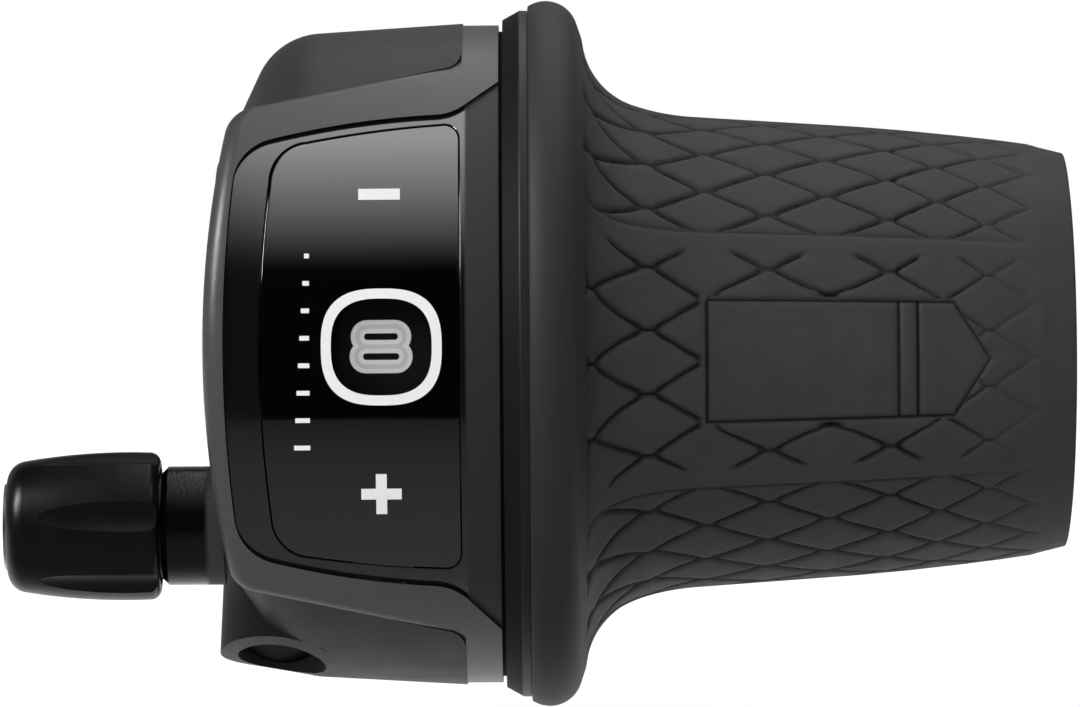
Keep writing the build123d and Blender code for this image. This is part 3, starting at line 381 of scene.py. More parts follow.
rubber = {
    # outer line, then the end face, bore and start face that close it, as places along the bar and radii
    "crest": [(19.7, 27.7), (20.6, 28.1), (23.6, 26.5)],
    "sweep": [(24.1, 25.0), (25.4, 21.7), (28.2, 19.76)],
    "barrel": [(33.0, 18.82), (46.0, 17.95), (50.0, 17.6), (54.2, 17.15), (57.3, 16.78), (59.6, 16.45), (60.4, 16.2),
               (62.4, 15.7)],
    "closing": [(62.4, 15.2), (62.4, 13.6), (62.25, 13.3), (41.0, 13.3), (19.85, 13.3), (19.7, 13.5), (19.7, 20.0),
                (19.7, 27.2)],
    "joinPull": 0.3335, "lineStep": 0.05, "easeSteps": 9,
    # lattice: its columns along the bar, rows to a column, panels and half a diamond in degrees
    "columns": [24.7, 29.05, 33.55, 38.39, 43.13, 47.94, 51.83, 55.59, 59.27], "lastPitch": 3.7,
    "columnSteps": 12, "panelTurn": -2.2, "panelWide": 60, "diamondHalf": 7.5, "barrelRadius": 18.0,
    "treadStart": (23.0, 25.2), "treadEnd": 8.2, "crestRows": 26, "endRows": 10, "crossRow": 0.2,
    # each panel is flatter than the round by this share, which comes in and goes out along the bar
    "panelFlat": 0.016, "flatIn": (25.5, 31.0), "flatOut": (58.0, 61.5),
    # grooves: share of the depth at 0 to 3 rows from the line, the columns and places where they run out
    "depth": 0.42, "grooveShape": (1.0, 0.25, 0.03, 0), "crown": 0.04, "crownReach": 0.4, "bar": 0.11,
    "firstColumn": (-0.5, -0.2), "lastColumn": (7.95, 8.15), "thinning": (48, 59), "thinned": 0.5, "thinnedFront": 0.68,
    # groove depths between which the grooves' painted shade comes in
    "shadeDepth": (0.08, 0.32),
    # lines beside the ridges between panels
    "ridgeLine": 4 / 12, "ridgeFade": 0.12, "plainRidge": (0.3, 0.5), "ridgeColumns": (-0.2, 8.0),
    "ridgeShape": ([0, 0.2, 0.4], [0.2, 0.05, 0]),
    # badge field, bar and arrow, with the margins before, beside and beyond them that have no grooves
    "badge": (33.5, 48.45), "barRight": 49.95, "arrow": (6.25, 7.0), "arrowPitch": 3.76, "badgeHalf": 2.0,
    "badgeMargins": (0.5, 0.1, 0.05), "badgeBend": 0.3, "bendIn": (33.2, 35.5), "bendOut": (50.5, 53.0),
    "frameShape": ([0, 0.1, 0.2, 0.4], [0.36, 0.2, 0.08, 0]), "frameThinning": (50, 56), "frameThinned": 0.35,
}
# stand-ins for far from a line, and for rows before and after the lattice
farOff, beforeLattice, afterLattice = 9, -9.0, 99.0


def smoothStep(low, high, value):
    # 0 below low, 1 above high, 3 t^2 - 2 t^3 between
    t = np.clip((value - low) / (high - low), 0, 1)
    return t * t * (3 - 2 * t)


def sleeveProfile():
    # outer line: crest arc, sweep arc, a cubic that leaves the sweep along its tangent and stays close to an arc,
    # then the barrel; read every lineStep, and eased by a running mean over about half a millimetre
    crest = arcThrough(*rubber["crest"], 60)
    sweep = arcThrough(*rubber["sweep"], 80)
    start, end = sweep[-1], np.array(rubber["barrel"][0])
    direction = sweep[-1] - sweep[-2]
    direction /= np.linalg.norm(direction)
    span = np.linalg.norm(end - start)
    chord = (end - start) / span
    exitWay = 2 * (chord @ direction) * chord - direction
    pull = rubber["joinPull"] * span
    a, b = start + direction * pull, end - exitWay * pull
    t = np.linspace(0, 1, 40)[1:, None]
    join = (1 - t) ** 3 * start + 3 * t * (1 - t) ** 2 * a + 3 * t * t * (1 - t) * b + t ** 3 * end
    line = np.concatenate([crest, sweep, join, np.array(rubber["barrel"][1:])])
    run = np.concatenate([[0], np.cumsum(np.linalg.norm(np.diff(line, axis=0), axis=1))])
    keep = np.concatenate([[True], np.diff(run) > 1e-6])
    line, run = line[keep], run[keep]
    fine = np.arange(0, run[-1], rubber["lineStep"])
    even = np.stack([np.interp(fine, run, line[:, k]) for k in (0, 1)], 1)
    width = rubber["easeSteps"]
    padded = np.concatenate([np.repeat(even[:1], width, 0), even, np.repeat(even[-1:], width, 0)])
    kernel = np.hanning(2 * width + 1)
    eased = np.stack([np.convolve(padded[:, k], kernel / kernel.sum(), "valid") for k in (0, 1)], 1)
    return fine, eased


def treadDepth(c, angle, x):
    # depth of the grooves at lattice column c and angle from the bar's front, in millimetres.
    # Groove lines are where c + t or c - t is an even number, t being the angle in half diamonds
    wide, firstTurn = rubber["panelWide"], rubber["panelTurn"]
    panel = np.round((angle - firstTurn) / wide)
    beside = np.abs(angle - firstTurn - wide * panel) / rubber["diamondHalf"]
    side = np.mod(panel, 2) == 1
    front = np.mod(panel, 360 / wide) == 0
    panelHalf = wide / 2 / rubber["diamondHalf"]
    toRidge = panelHalf - beside
    ease = rubber["ridgeLine"]
    # side panels: lines bend round just before the ridge, distance u becomes sqrt(u^2 - ease^2)
    t = panelHalf - np.where(side, np.sqrt(np.maximum(toRidge ** 2 - ease ** 2, 0)), toRidge)
    # front panel: lines bend round the badge in the same way
    half = rubber["badgeHalf"]
    bend = rubber["badgeBend"] * smoothStep(*rubber["bendIn"], x) * (1 - smoothStep(*rubber["bendOut"], x))
    off = np.maximum(beside - half, 0)
    t = np.where(front & (beside > half), half + np.sqrt(np.maximum(off ** 2 - bend ** 2, 0)), t)
    # nearest crossing, and the offsets (dc, dt) from it; the lines there are the two branches of
    # dc^2 - dt^2 = bar^2, joined by a short bar along the grip, so the diamonds' tips are blunt
    a, b = (c + t) / 2, (c - t) / 2
    da, db = a - np.round(a), b - np.round(b)
    dc, dt = da + db, da - db
    branch = np.abs(dc ** 2 - dt ** 2 - rubber["bar"] ** 2) / (2 * np.sqrt(dc ** 2 + dt ** 2) + 1e-6)
    joint = np.hypot(np.maximum(np.abs(dc) - rubber["bar"], 0), dt)
    near = np.minimum(branch, joint) * math.sqrt(2)
    groove = np.interp(near * rubber["columnSteps"], [0, 1, 2, 3], rubber["grooveShape"])
    crown = rubber["crown"] * (1 - smoothStep(0, rubber["crownReach"], near))
    fade = np.where(side, smoothStep(ease, ease + rubber["ridgeFade"], toRidge),
                    smoothStep(*rubber["plainRidge"], toRidge))
    # the grooves run out toward the grip's end, most of all beyond the arrow
    thinning = smoothStep(*rubber["thinning"], x)
    ends = smoothStep(*rubber["firstColumn"], c) * (1 - smoothStep(*rubber["lastColumn"], c))
    ends = ends * (1 - np.where(front, rubber["thinnedFront"], rubber["thinned"]) * thinning)
    # plain badge field, bar and arrow in the front panel; the arrow narrows evenly between two columns
    shoulder, tip = rubber["arrow"]
    left, right = rubber["badge"]
    marginLeft, marginBeside, marginTip = rubber["badgeMargins"]
    arrowHalf = half * np.clip((tip - c) / (tip - shoulder), 0, 1)
    beforeTip = front & (c < tip + marginTip)
    inBadge = beforeTip & (x > left - marginLeft) & (beside < arrowHalf + marginBeside)
    lattice = np.where(inBadge, 0, (rubber["depth"] * groove + crown) * fade * ends)
    # straight lines beside the ridges of the side panels, and round the badge, bar and arrow; on the arrow's
    # slopes the distance is taken square to the line
    unit = math.radians(rubber["diamondHalf"]) * rubber["barrelRadius"]
    ridgeStart, ridgeEnd = rubber["ridgeColumns"]
    ridge = np.where(side & (c > ridgeStart) & (c < ridgeEnd), np.abs(toRidge - ease) * unit, farOff)
    length = (tip - shoulder) * rubber["arrowPitch"]
    square = np.where(c > shoulder, length / math.hypot(length, half * unit), 1)
    edge = np.where(beforeTip & (x > left), np.abs(beside - arrowHalf) * unit * square, farOff)
    cross = np.minimum(np.minimum(np.abs(x - left), np.abs(x - right)), np.abs(x - rubber["barRight"]))
    cross = np.where(front & (beside <= half), cross, farOff)
    shallow = np.interp(ridge, *rubber["ridgeShape"]) * (1 - rubber["thinned"] * thinning)
    frameLine = np.interp(np.minimum(edge, cross), *rubber["frameShape"])
    frameLine = frameLine * (1 - rubber["frameThinned"] * smoothStep(*rubber["frameThinning"], x))
    return np.maximum(np.maximum(lattice, shallow), frameLine)


def makeRubber():
    # surface of revolution about the bar: rows follow the outer line, in the tread they step evenly from
    # one lattice column to the next, and each point is lowered by the tread's depth along the line's normal
    run, line = sleeveProfile()
    slope = unitRows(np.gradient(line, axis=0))
    columnRun = np.interp(rubber["columns"], line[:, 0], run)
    # the tread starts where the line, beyond a place on the crest, comes down to a radius
    startX, startRadius = rubber["treadStart"]
    beyond = np.flatnonzero(line[:, 0] >= startX)
    startRun = run[beyond[np.argmin(np.abs(line[beyond, 1] - startRadius))]]
    startColumn = -(columnRun[0] - startRun) / (columnRun[1] - columnRun[0])
    steps = rubber["columnSteps"]
    c = np.arange(math.ceil(startColumn * steps), int(rubber["treadEnd"] * steps) + 1) / steps
    # finer rows along the arrow, one for each step round the grip
    shoulder, tip = rubber["arrow"]
    arrowRows = np.linspace(shoulder, tip, int(rubber["badgeHalf"] * steps) + 1)
    c = np.concatenate([c[c < shoulder - 0.01], arrowRows, c[c > tip + 0.01]])
    latticeRun = np.interp(c, np.concatenate([[startColumn], np.arange(len(columnRun) + 1)]),
                           np.concatenate([[startRun], columnRun, [columnRun[-1] + rubber["lastPitch"]]]))
    # three more rows at each line across the badge and the bar
    crossX = np.array([*rubber["badge"], rubber["barRight"]])[:, None] + rubber["crossRow"] * np.array([-1, 0, 1])
    crossRun = np.interp(crossX.ravel(), line[:, 0], run)
    treadRun = np.sort(np.concatenate([latticeRun, crossRun]))
    c = np.interp(treadRun, latticeRun, c)
    before = np.linspace(rubber["lineStep"], treadRun[0], rubber["crestRows"])[:-1]
    after = np.linspace(treadRun[-1], run[-1], rubber["endRows"])[1:]
    rowRun = np.concatenate([before, treadRun, after])
    rowColumn = np.concatenate([np.full(len(before), beforeLattice), c, np.full(len(after), afterLattice)])
    x, r = (np.interp(rowRun, run, line[:, k]) for k in (0, 1))
    alongX, alongR = (np.interp(rowRun, run, slope[:, k])[:, None] for k in (0, 1))
    wide, firstTurn = rubber["panelWide"], rubber["panelTurn"]
    spread = int(360 / rubber["diamondHalf"] * steps)
    angle = firstTurn + np.arange(spread) * 360 / spread - 180
    cGrid, angleGrid = np.meshgrid(rowColumn, angle, indexing="ij")
    xGrid = np.broadcast_to(x[:, None], cGrid.shape)
    depth = treadDepth(cGrid, angleGrid, xGrid)
    # each panel is a little flatter than the round: r falls by panelFlat (1 - s^2), s running from -1 to 1 across it
    s = (np.mod(angleGrid - firstTurn + wide / 2, wide) - wide / 2) / (wide / 2)
    flat = rubber["panelFlat"] * (1 - s ** 2) * smoothStep(*rubber["flatIn"], xGrid)
    flat = flat * (1 - smoothStep(*rubber["flatOut"], xGrid))
    rGrid = r[:, None] * (1 - flat) - depth * alongX
    xGrid = xGrid + depth * alongR
    closing = np.array(rubber["closing"])
    xAll = np.concatenate([xGrid, np.repeat(closing[:, :1], spread, 1)])
    rAll = np.concatenate([rGrid, np.repeat(closing[:, 1:], spread, 1)])
    turn = np.radians(angle)[None, :]
    points = np.stack([xAll, -rAll * np.cos(turn), rAll * np.sin(turn)], -1).reshape(-1, 3)
    quads = gridFaces(len(xAll), spread, True, True)
    # triangles follow the grooves: the diagonal that lies nearer to a groove line is the one drawn
    row, column = np.divmod(quads[:, 0], spread)
    rowC = np.concatenate([rowColumn, np.full(len(closing), afterLattice)])[row] + 0.5 / steps
    tMid = (angle[column] - firstTurn) / rubber["diamondHalf"] + 0.5 / steps
    first = np.abs(np.mod(rowC - tMid + 1, 2) - 1)
    second = np.abs(np.mod(rowC + tMid + 1, 2) - 1)
    arrowWide = rubber["badgeHalf"] + rubber["badgeMargins"][1]
    inArrow = (rowC > shoulder) & (rowC < tip + 1 / steps) & (np.abs(tMid) < arrowWide)
    along = np.where(inArrow, tMid < 0, first < second)[:, None]
    a, b, d, e = quads.T
    faces = np.concatenate([np.where(along, np.stack([a, b, d], 1), np.stack([a, b, e], 1)),
                            np.where(along, np.stack([a, d, e], 1), np.stack([b, d, e], 1))])
    mesh = meshFromArrays("tread_sleeve", points, faces)
    # painted shade for the grooves: none where shallower than the first of shadeDepth, full where deeper than the
    # second
    shade = np.concatenate([smoothStep(*rubber["shadeDepth"], depth).ravel(), np.zeros(len(closing) * spread)])
    mesh.attributes.new("groove", "FLOAT", "POINT").data.foreach_set("value", shade.astype(np.float32))
    return mesh


treadSleeve = addPiece("tread_sleeve", makeRubber(), finishes["thermoplasticRubber"], "grip")
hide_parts("grip_rubber")
print("twist shifter: rubber sleeve,", len(treadSleeve.data.polygons), "triangles")


# glossy lens panel

lens = {
    "radius": 25.9, "wall": 1.15, "edge": 0.05, "rows": 40, "spread": 720,
    "corners": [(0.2, -15.1), (14.35, -16.5), (14.35, 17.75), (0.2, 15.8)],
    "radii": [3.1, 1.1, 1.1, 3.1], "bows": [0.3, 0.0, 0.3, 1.05],
    "windowCentre": (8.5, 0.5), "windowSize": 7.4, "windowRound": 2.6,
}
# steps of a quarter round on an eased edge, and of an outline's corners and sides; where a skin's last row but
# one lies, and the angle from which an edge is drawn sharp
quarterRound = np.radians(np.linspace(0, 90, 7))
fineSteps, lastRow, sharpAngle = (24, 60), 0.98, math.radians(35)
squareCorners = np.array([(-1, -1), (1, -1), (1, 1), (-1, 1)])


def byAngle(outline, centre, angles):
    # the outline's distance from a centre, read at even angles
    off = outline - np.array(centre)
    turn = np.arctan2(off[:, 1], off[:, 0])
    order = np.argsort(turn)
    turn, far = turn[order], np.linalg.norm(off, axis=1)[order]
    return np.interp(angles, np.concatenate([turn - 2 * np.pi, turn, turn + 2 * np.pi]), np.tile(far, 3))


def drumRing(name, sharpLine, easedLine, settings):
    # ring surface between two outlines on a cylinder about the bar, both read round the window's centre; the edge
    # at the second one is eased by a quarter round, and walls and an inner skin close it
    angles = np.linspace(-np.pi, np.pi, settings["spread"], endpoint=False)
    centre = np.array(lens["windowCentre"])
    sharp, eased = (byAngle(line, centre, angles) for line in (sharpLine, easedLine))
    outward = 1 if eased.mean() > sharp.mean() else -1
    edge, wall = settings["edge"], settings["wall"]
    shares = np.append(np.linspace(0, lastRow, settings["rows"]), 1.0)
    far = [sharp + share * (eased - outward * edge - sharp) for share in shares]
    far += [eased - outward * edge * (1 - math.sin(turn)) for turn in quarterRound[1:]]
    far = np.array(far + [eased, sharp])
    deep = np.concatenate([np.zeros(len(shares)), edge * (1 - np.cos(quarterRound[1:])), [wall, wall]])[:, None]
    x = centre[0] + far * np.cos(angles)
    z = centre[1] + far * np.sin(angles)
    points = onDrum(x, z, settings["radius"] - deep).reshape(-1, 3)
    faces = gridFaces(len(far), len(angles), True, True)
    mesh = meshFromArrays(name, points, faces[:, ::-1] if outward > 0 else faces)
    mesh.set_sharp_from_angle(angle=sharpAngle)
    return mesh


lensOutline = roundedOutline(lens["corners"], lens["radii"], lens["bows"], *fineSteps)
windowCorners = np.array(lens["windowCentre"]) + lens["windowSize"] / 2 * squareCorners
windowOutline = roundedOutline(windowCorners, [lens["windowRound"]] * 4, [0] * 4)
glossPanel = addPiece("gloss_panel", drumRing("gloss_panel", windowOutline, lensOutline, lens),
                      finishes["polishedAcrylicBlack"], "housing")
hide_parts("lens_panel")


# bezel round the panel, with a crisper edge at the panel than the solid has

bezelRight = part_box("window_bezel")[1][0] / mm
bezel = {
    "radius": 25.95, "wall": 1.35, "edge": 0.1, "rows": 16, "spread": 1440, "gap": 0.1,
    "corners": [(-2.6, -15.2), (13.8, -17.9), (bezelRight, -21.4), (bezelRight, 21.1), (13.8, 18.5), (-2.6, 15.9)],
    "radii": [4.0, 4.0, 0.05, 0.05, 4.0, 4.0], "bows": [0.55, 0, 0, 0, 0.55, 1.0],
}
bezelOutline = roundedOutline(bezel["corners"], bezel["radii"], bezel["bows"], *fineSteps)
openingCorners = np.array(lens["corners"]) + bezel["gap"] * squareCorners
bezelOpening = roundedOutline(openingCorners, np.array(lens["radii"]) + bezel["gap"], lens["bows"], *fineSteps)
bezelFrame = addPiece("bezel_frame", drumRing("bezel_frame", bezelOutline, bezelOpening, bezel),
                      finishes["glossAbsBlack"], "housing")
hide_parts("window_bezel")


# prints on the panel: ring round the window, minus, plus and a row of ticks that grow, level at their right ends

prints = {
    "thick": 0.025, "strips": 8, "outlineSteps": 360, "ringSteps": 240,
    "ringCentre": (8.43, 0.59), "ringSize": (9.24, 8.94), "ringStroke": 0.765, "ringPower": 2.72,
    "minus": (8.28, 12.33, 3.2, 0.86), "plus": (8.32, -10.7, 3.1, 0.84),
    "tickRight": 2.925, "tickTop": 7.6, "tickPitch": 2.1, "tickCount": 8, "tickFirst": 0.375, "tickGrow": 0.125,
    "tickTall": 0.36,
}


def printBand(name, outerLine, innerLine, centre):
    # flat ring of ink between two outlines, laid on the panel; four rows close it as a thin band
    angles = np.linspace(-np.pi, np.pi, prints["ringSteps"], endpoint=False)
    far = np.array([byAngle(line, centre, angles) for line in (outerLine, outerLine, innerLine, innerLine)])
    x, z = centre[0] + far * np.cos(angles), centre[1] + far * np.sin(angles)
    high = lens["radius"] + prints["thick"] * np.array([0, 1, 1, 0])[:, None]
    mesh = meshFromArrays(name, onDrum(x, z, high).reshape(-1, 3), gridFaces(4, len(angles), True, True))
    addPiece(name, mesh, finishes["padPrintWhite"], "housing", smooth=False)


def printPatches(name, patches):
    # rectangles of ink (centre x, centre z, width, height) on the panel, each a thin slab cut in strips along z
    strips = prints["strips"]
    grid = (strips + 1, 4)
    high = np.broadcast_to(lens["radius"] + prints["thick"] * np.array([1, 1, 0, 0]), grid)
    caps = np.array([[3, 2, 1, 0], np.arange(4) + 4 * strips])
    slab = np.concatenate([gridFaces(*grid, False, True), caps])
    points = []
    for x, z, width, height in patches:
        gridX = np.broadcast_to(x + width / 2 * np.array([-1, 1, 1, -1]), grid)
        gridZ = np.broadcast_to(z + height * np.linspace(-0.5, 0.5, strips + 1)[:, None], grid)
        points.append(onDrum(gridX, gridZ, high).reshape(-1, 3))
    faces = [slab + k * len(points[0]) for k in range(len(points))]
    mesh = meshFromArrays(name, np.concatenate(points), np.concatenate(faces))
    addPiece(name, mesh, finishes["padPrintWhite"], "housing", smooth=False)


def squircle(centre, size, power):
    # superellipse: distance 1 / (|cos / a|^n + |sin / b|^n)^(1/n) from its centre
    t = np.linspace(-np.pi, np.pi, prints["outlineSteps"], endpoint=False)
    far = (np.abs(2 * np.cos(t) / size[0]) ** power + np.abs(2 * np.sin(t) / size[1]) ** power) ** (-1 / power)
    return np.array(centre) + far[:, None] * np.stack([np.cos(t), np.sin(t)], 1)


ringOuter = squircle(prints["ringCentre"], prints["ringSize"], prints["ringPower"])
ringInner = squircle(prints["ringCentre"], [side - 2 * prints["ringStroke"] for side in prints["ringSize"]],
                     prints["ringPower"])
printBand("window_ring_print", ringOuter, ringInner, prints["ringCentre"])
plusX, plusZ, plusSize, plusArm = prints["plus"]
stub = (plusSize - plusArm) / 2
marks = [prints["minus"], (plusX, plusZ, plusArm, plusSize)]
marks += [(plusX + hand * (plusArm + stub) / 2, plusZ, stub, plusArm) for hand in (-1, 1)]
for k in range(prints["tickCount"]):
    tickWide = prints["tickFirst"] + k * prints["tickGrow"]
    marks.append((prints["tickRight"] - tickWide / 2, prints["tickTop"] - k * prints["tickPitch"], tickWide,
                  prints["tickTall"]))
printPatches("panel_marks", marks)
print("twist shifter: panel and prints")


# gear numbers on the dial

dial = {
    "radius": 24.2, "centreX": 8.38, "centreZ": 0.62, "pitch": 22.0, "gears": 8, "thick": 0.03,
    "halfWide": 1.9, "halfTall": 1.53, "bend": 0.75, "bendSteps": 13, "bendShare": 0.49,
    "stroke": 1.02, "lineStroke": 0.34, "lineLift": 0.012, "overlapLift": 0.004,
}
# strokes of each numeral on a frame of -1 to 1; 8 is two closed loops
numeralStrokes = {
    1: [[(-0.45, 0.6), (0.1, 1), (0.1, -1)]],
    2: [[(-1, 1), (1, 1), (1, 0), (-1, 0), (-1, -1), (1, -1)]],
    3: [[(-1, 1), (1, 1), (1, 0), (-0.55, 0)], [(-0.55, 0), (1, 0), (1, -1), (-1, -1)]],
    4: [[(-0.9, 1), (-0.9, -0.2), (1.05, -0.2)], [(0.55, 1), (0.55, -1)]],
    5: [[(1, 1), (-1, 1), (-1, 0), (1, 0), (1, -1), (-1, -1)]],
    6: [[(1, 1), (-1, 1), (-1, -1), (1, -1), (1, 0), (-0.9, 0)]],
    7: [[(-1, 1), (1, 1), (0.1, -1)]],
    8: [[(0, 1), (0.95, 1), (0.95, 0), (-0.95, 0), (-0.95, 1), (0, 1)],
        [(0, 0), (1, 0), (1, -1), (-1, -1), (-1, 0), (0, 0)]],
}


def strokePath(corners):
    # open path: each corner is cut back by bend x tan(half its turn) and rounded by an arc of radius bend, or of
    # less where a stroke is short
    corners = np.array(corners, float) * (dial["halfWide"], dial["halfTall"])
    parts = [corners[:1]]
    for before, corner, after in zip(corners[:-2], corners[1:-1], corners[2:]):
        arriveLength, leaveLength = np.linalg.norm(corner - before), np.linalg.norm(after - corner)
        arrive, leave = (corner - before) / arriveLength, (after - corner) / leaveLength
        turn = math.atan2(arrive[0] * leave[1] - arrive[1] * leave[0], arrive @ leave)
        inward = math.copysign(1, turn) * np.array([-arrive[1], arrive[0]])
        slant = math.tan(abs(turn) / 2)
        curve = min(dial["bend"], dial["bendShare"] * min(arriveLength, leaveLength) / slant)
        centre = corner - arrive * curve * slant + curve * inward
        t = np.linspace(0, abs(turn), dial["bendSteps"])[:, None]
        parts.append(centre - curve * np.cos(t) * inward + curve * np.sin(t) * arrive)
    parts.append(corners[-1:])
    path = np.concatenate(parts)
    return path[np.concatenate([[True], np.linalg.norm(np.diff(path, axis=0), axis=1) > 1e-4])]


def makeNumerals(name, stroke, lift):
    # a flat strip of ink carried along each stroke, rolled onto the dial: height becomes an angle, z / radius;
    # where strokes of one numeral overlap, the later one lies a little higher
    points, faces, start = [], [], 0
    for gear, strokes in numeralStrokes.items():
        gearTurn = math.radians((dial["gears"] - gear) * dial["pitch"])
        for order, corners in enumerate(strokes):
            path = strokePath(corners)
            way = unitRows(np.gradient(path, axis=0))
            across = np.stack([-way[:, 1], way[:, 0]], 1)
            sides = np.array([1, 1, -1, -1]) * stroke / 2
            flat = path[:, None, :] + sides[None, :, None] * across[:, None, :]
            high = dial["radius"] + lift + dial["overlapLift"] * order + dial["thick"] * np.array([0, 1, 1, 0])
            turn = (flat[..., 1] + dial["centreZ"]) / dial["radius"] - gearTurn
            place = [flat[..., 0] + dial["centreX"], -high * np.cos(turn), high * np.sin(turn)]
            points.append(np.stack(place, -1).reshape(-1, 3))
            last = 4 * (len(path) - 1)
            caps = np.array([[3, 2, 1, 0], [last, last + 1, last + 2, last + 3]])
            faces.append(start + np.concatenate([gridFaces(len(path), 4, False, True)[:, ::-1], caps]))
            start += 4 * len(path)
    return meshFromArrays(name, np.concatenate(points), np.concatenate(faces))


addPiece("dial_numbers", makeNumerals("dial_numbers", dial["stroke"], 0.0), finishes["padPrintSilver"], "grip",
         smooth=False)
addPiece("dial_number_lines", makeNumerals("dial_number_lines", dial["lineStroke"], dial["lineLift"]),
         finishes["padPrintGrey"], "grip", smooth=False)
print("twist shifter: dial numbers")


# cover screws with their cross recesses

screws = {
    "circle": 22.5, "angles": (-13.0, 11.0), "faceX": -5.0, "headHeight": 1.0, "headRadius": 2.0, "shankRadius": 1.1,
    "length": 6.0, "ease": 0.15, "armHalf": 0.27, "armSoft": 0.05, "armReach": 1.1, "recess": 0.6, "rows": 48,
    "spread": 144, "axisGap": 0.001, "sharpDegrees": 40,
}


def makeScrews():
    # each screw is turned about its own axis: rows run from the middle of the head out, over its eased edge and
    # down the shank to its end; on the head the cross sinks by recess x (1 - (along / reach)^2) in each arm
    ease, top = screws["ease"], screws["headRadius"] - screws["ease"]
    head, shank, middle = screws["headHeight"], screws["shankRadius"], screws["axisGap"]
    end = head + screws["length"]
    far = np.concatenate([np.linspace(middle, top, screws["rows"]), top + ease * np.sin(quarterRound[1:]),
                          [screws["headRadius"], shank, shank, middle]])
    deep = np.concatenate([np.zeros(screws["rows"]), ease * (1 - np.cos(quarterRound[1:])), [head, head, end, end]])
    turn = np.linspace(0, 2 * np.pi, screws["spread"], endpoint=False)
    across, up = far[:, None] * np.cos(turn), far[:, None] * np.sin(turn)
    armEdge = screws["armHalf"] - screws["armSoft"], screws["armHalf"] + screws["armSoft"]
    sunk = [(1 - smoothStep(*armEdge, np.abs(beside))) * np.clip(1 - (along / screws["armReach"]) ** 2, 0, 1)
            for beside, along in ((across, up), (up, across))]
    sunk = np.maximum(*sunk) * (deep[:, None] == 0)
    x = screws["faceX"] + deep[:, None] + screws["recess"] * sunk
    points = []
    for angle in np.radians(screws["angles"]):
        y, z = across - screws["circle"] * math.cos(angle), up - screws["circle"] * math.sin(angle)
        points.append(np.stack([x, y, z], -1).reshape(-1, 3))
    faces = gridFaces(len(far), screws["spread"], False, True)
    mesh = meshFromArrays("cross_screws", np.concatenate(points), np.concatenate([faces, faces + len(points[0])]))
    mesh.set_sharp_from_angle(angle=math.radians(screws["sharpDegrees"]))
    return mesh


crossScrews = addPiece("cross_screws", makeScrews(), finishes["zincPlatedSteel"], "housing")
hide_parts("cover_screws")
print("twist shifter: cover screws")


# floor, light and background

studio = {
    # floor: its height and half width, how white it is to the eye, and the share of that near the part
    "floorZ": -28.6, "floorHalf": 3000, "floorColour": "#f4f4f4", "floorWhite": 1.14, "shadow": (60.0, 220.0),
    "shadowShare": 0.85,
    # table in reflections: its levels in front, under and behind the part, and where they change along y
    "tableShine": (0.08, 0.21, 1.1), "tableRise": (-82.7, -25.0), "tablePaler": (-22.0, -4.0),
    # card on the floor's left side: its level and where it comes in along x
    "cardGlow": 0.35, "cardEdge": (30.0, -10.0),
    # room: level of the soft light, and of the wall behind, which starts and ends at these directions
    "ambient": 0.42, "backStrength": 0.3, "wallEdge": (0.0, 0.4), "wallTop": (0.3, 0.8),
    # soft box
    "boxZ": 150.0, "boxStrength": 2.15, "boxFront": -290.0, "boxFull": -40.0, "boxBack": 120.0, "boxLeft": -16.0,
    "boxFade": 6.0, "boxRight": 160.0, "boxPower": 2.1,
}
# lamps: place, aim and size in millimetres, power in watts, and whether it shows in reflections only
lamps = {
    "keyLamp": ((-60, -400, 440), (20, 0, 0), (320, 320), 0.85, False),
    "fillLamp": ((-120, -540, -5), (10, 0, 0), (320, 120), 0.95, False),
    "sideLamp": ((-350, -210, 290), (0, 0, 0), (120, 220), 3.8, True),
}


def inMetres(pair):
    # both numbers of a pair in millimetres, as metres
    return pair[0] * mm, pair[1] * mm


def stagePlane(name, material, left, right, front, back, z):
    # level rectangle that belongs to the stage, not to the part
    points = np.array([(left, front, z), (right, front, z), (right, back, z), (left, back, z)])
    mesh = meshFromArrays(name, points, np.array([[0, 1, 2, 3]]))
    mesh.materials.append(material)
    plane = addObject(name, mesh)
    return plane


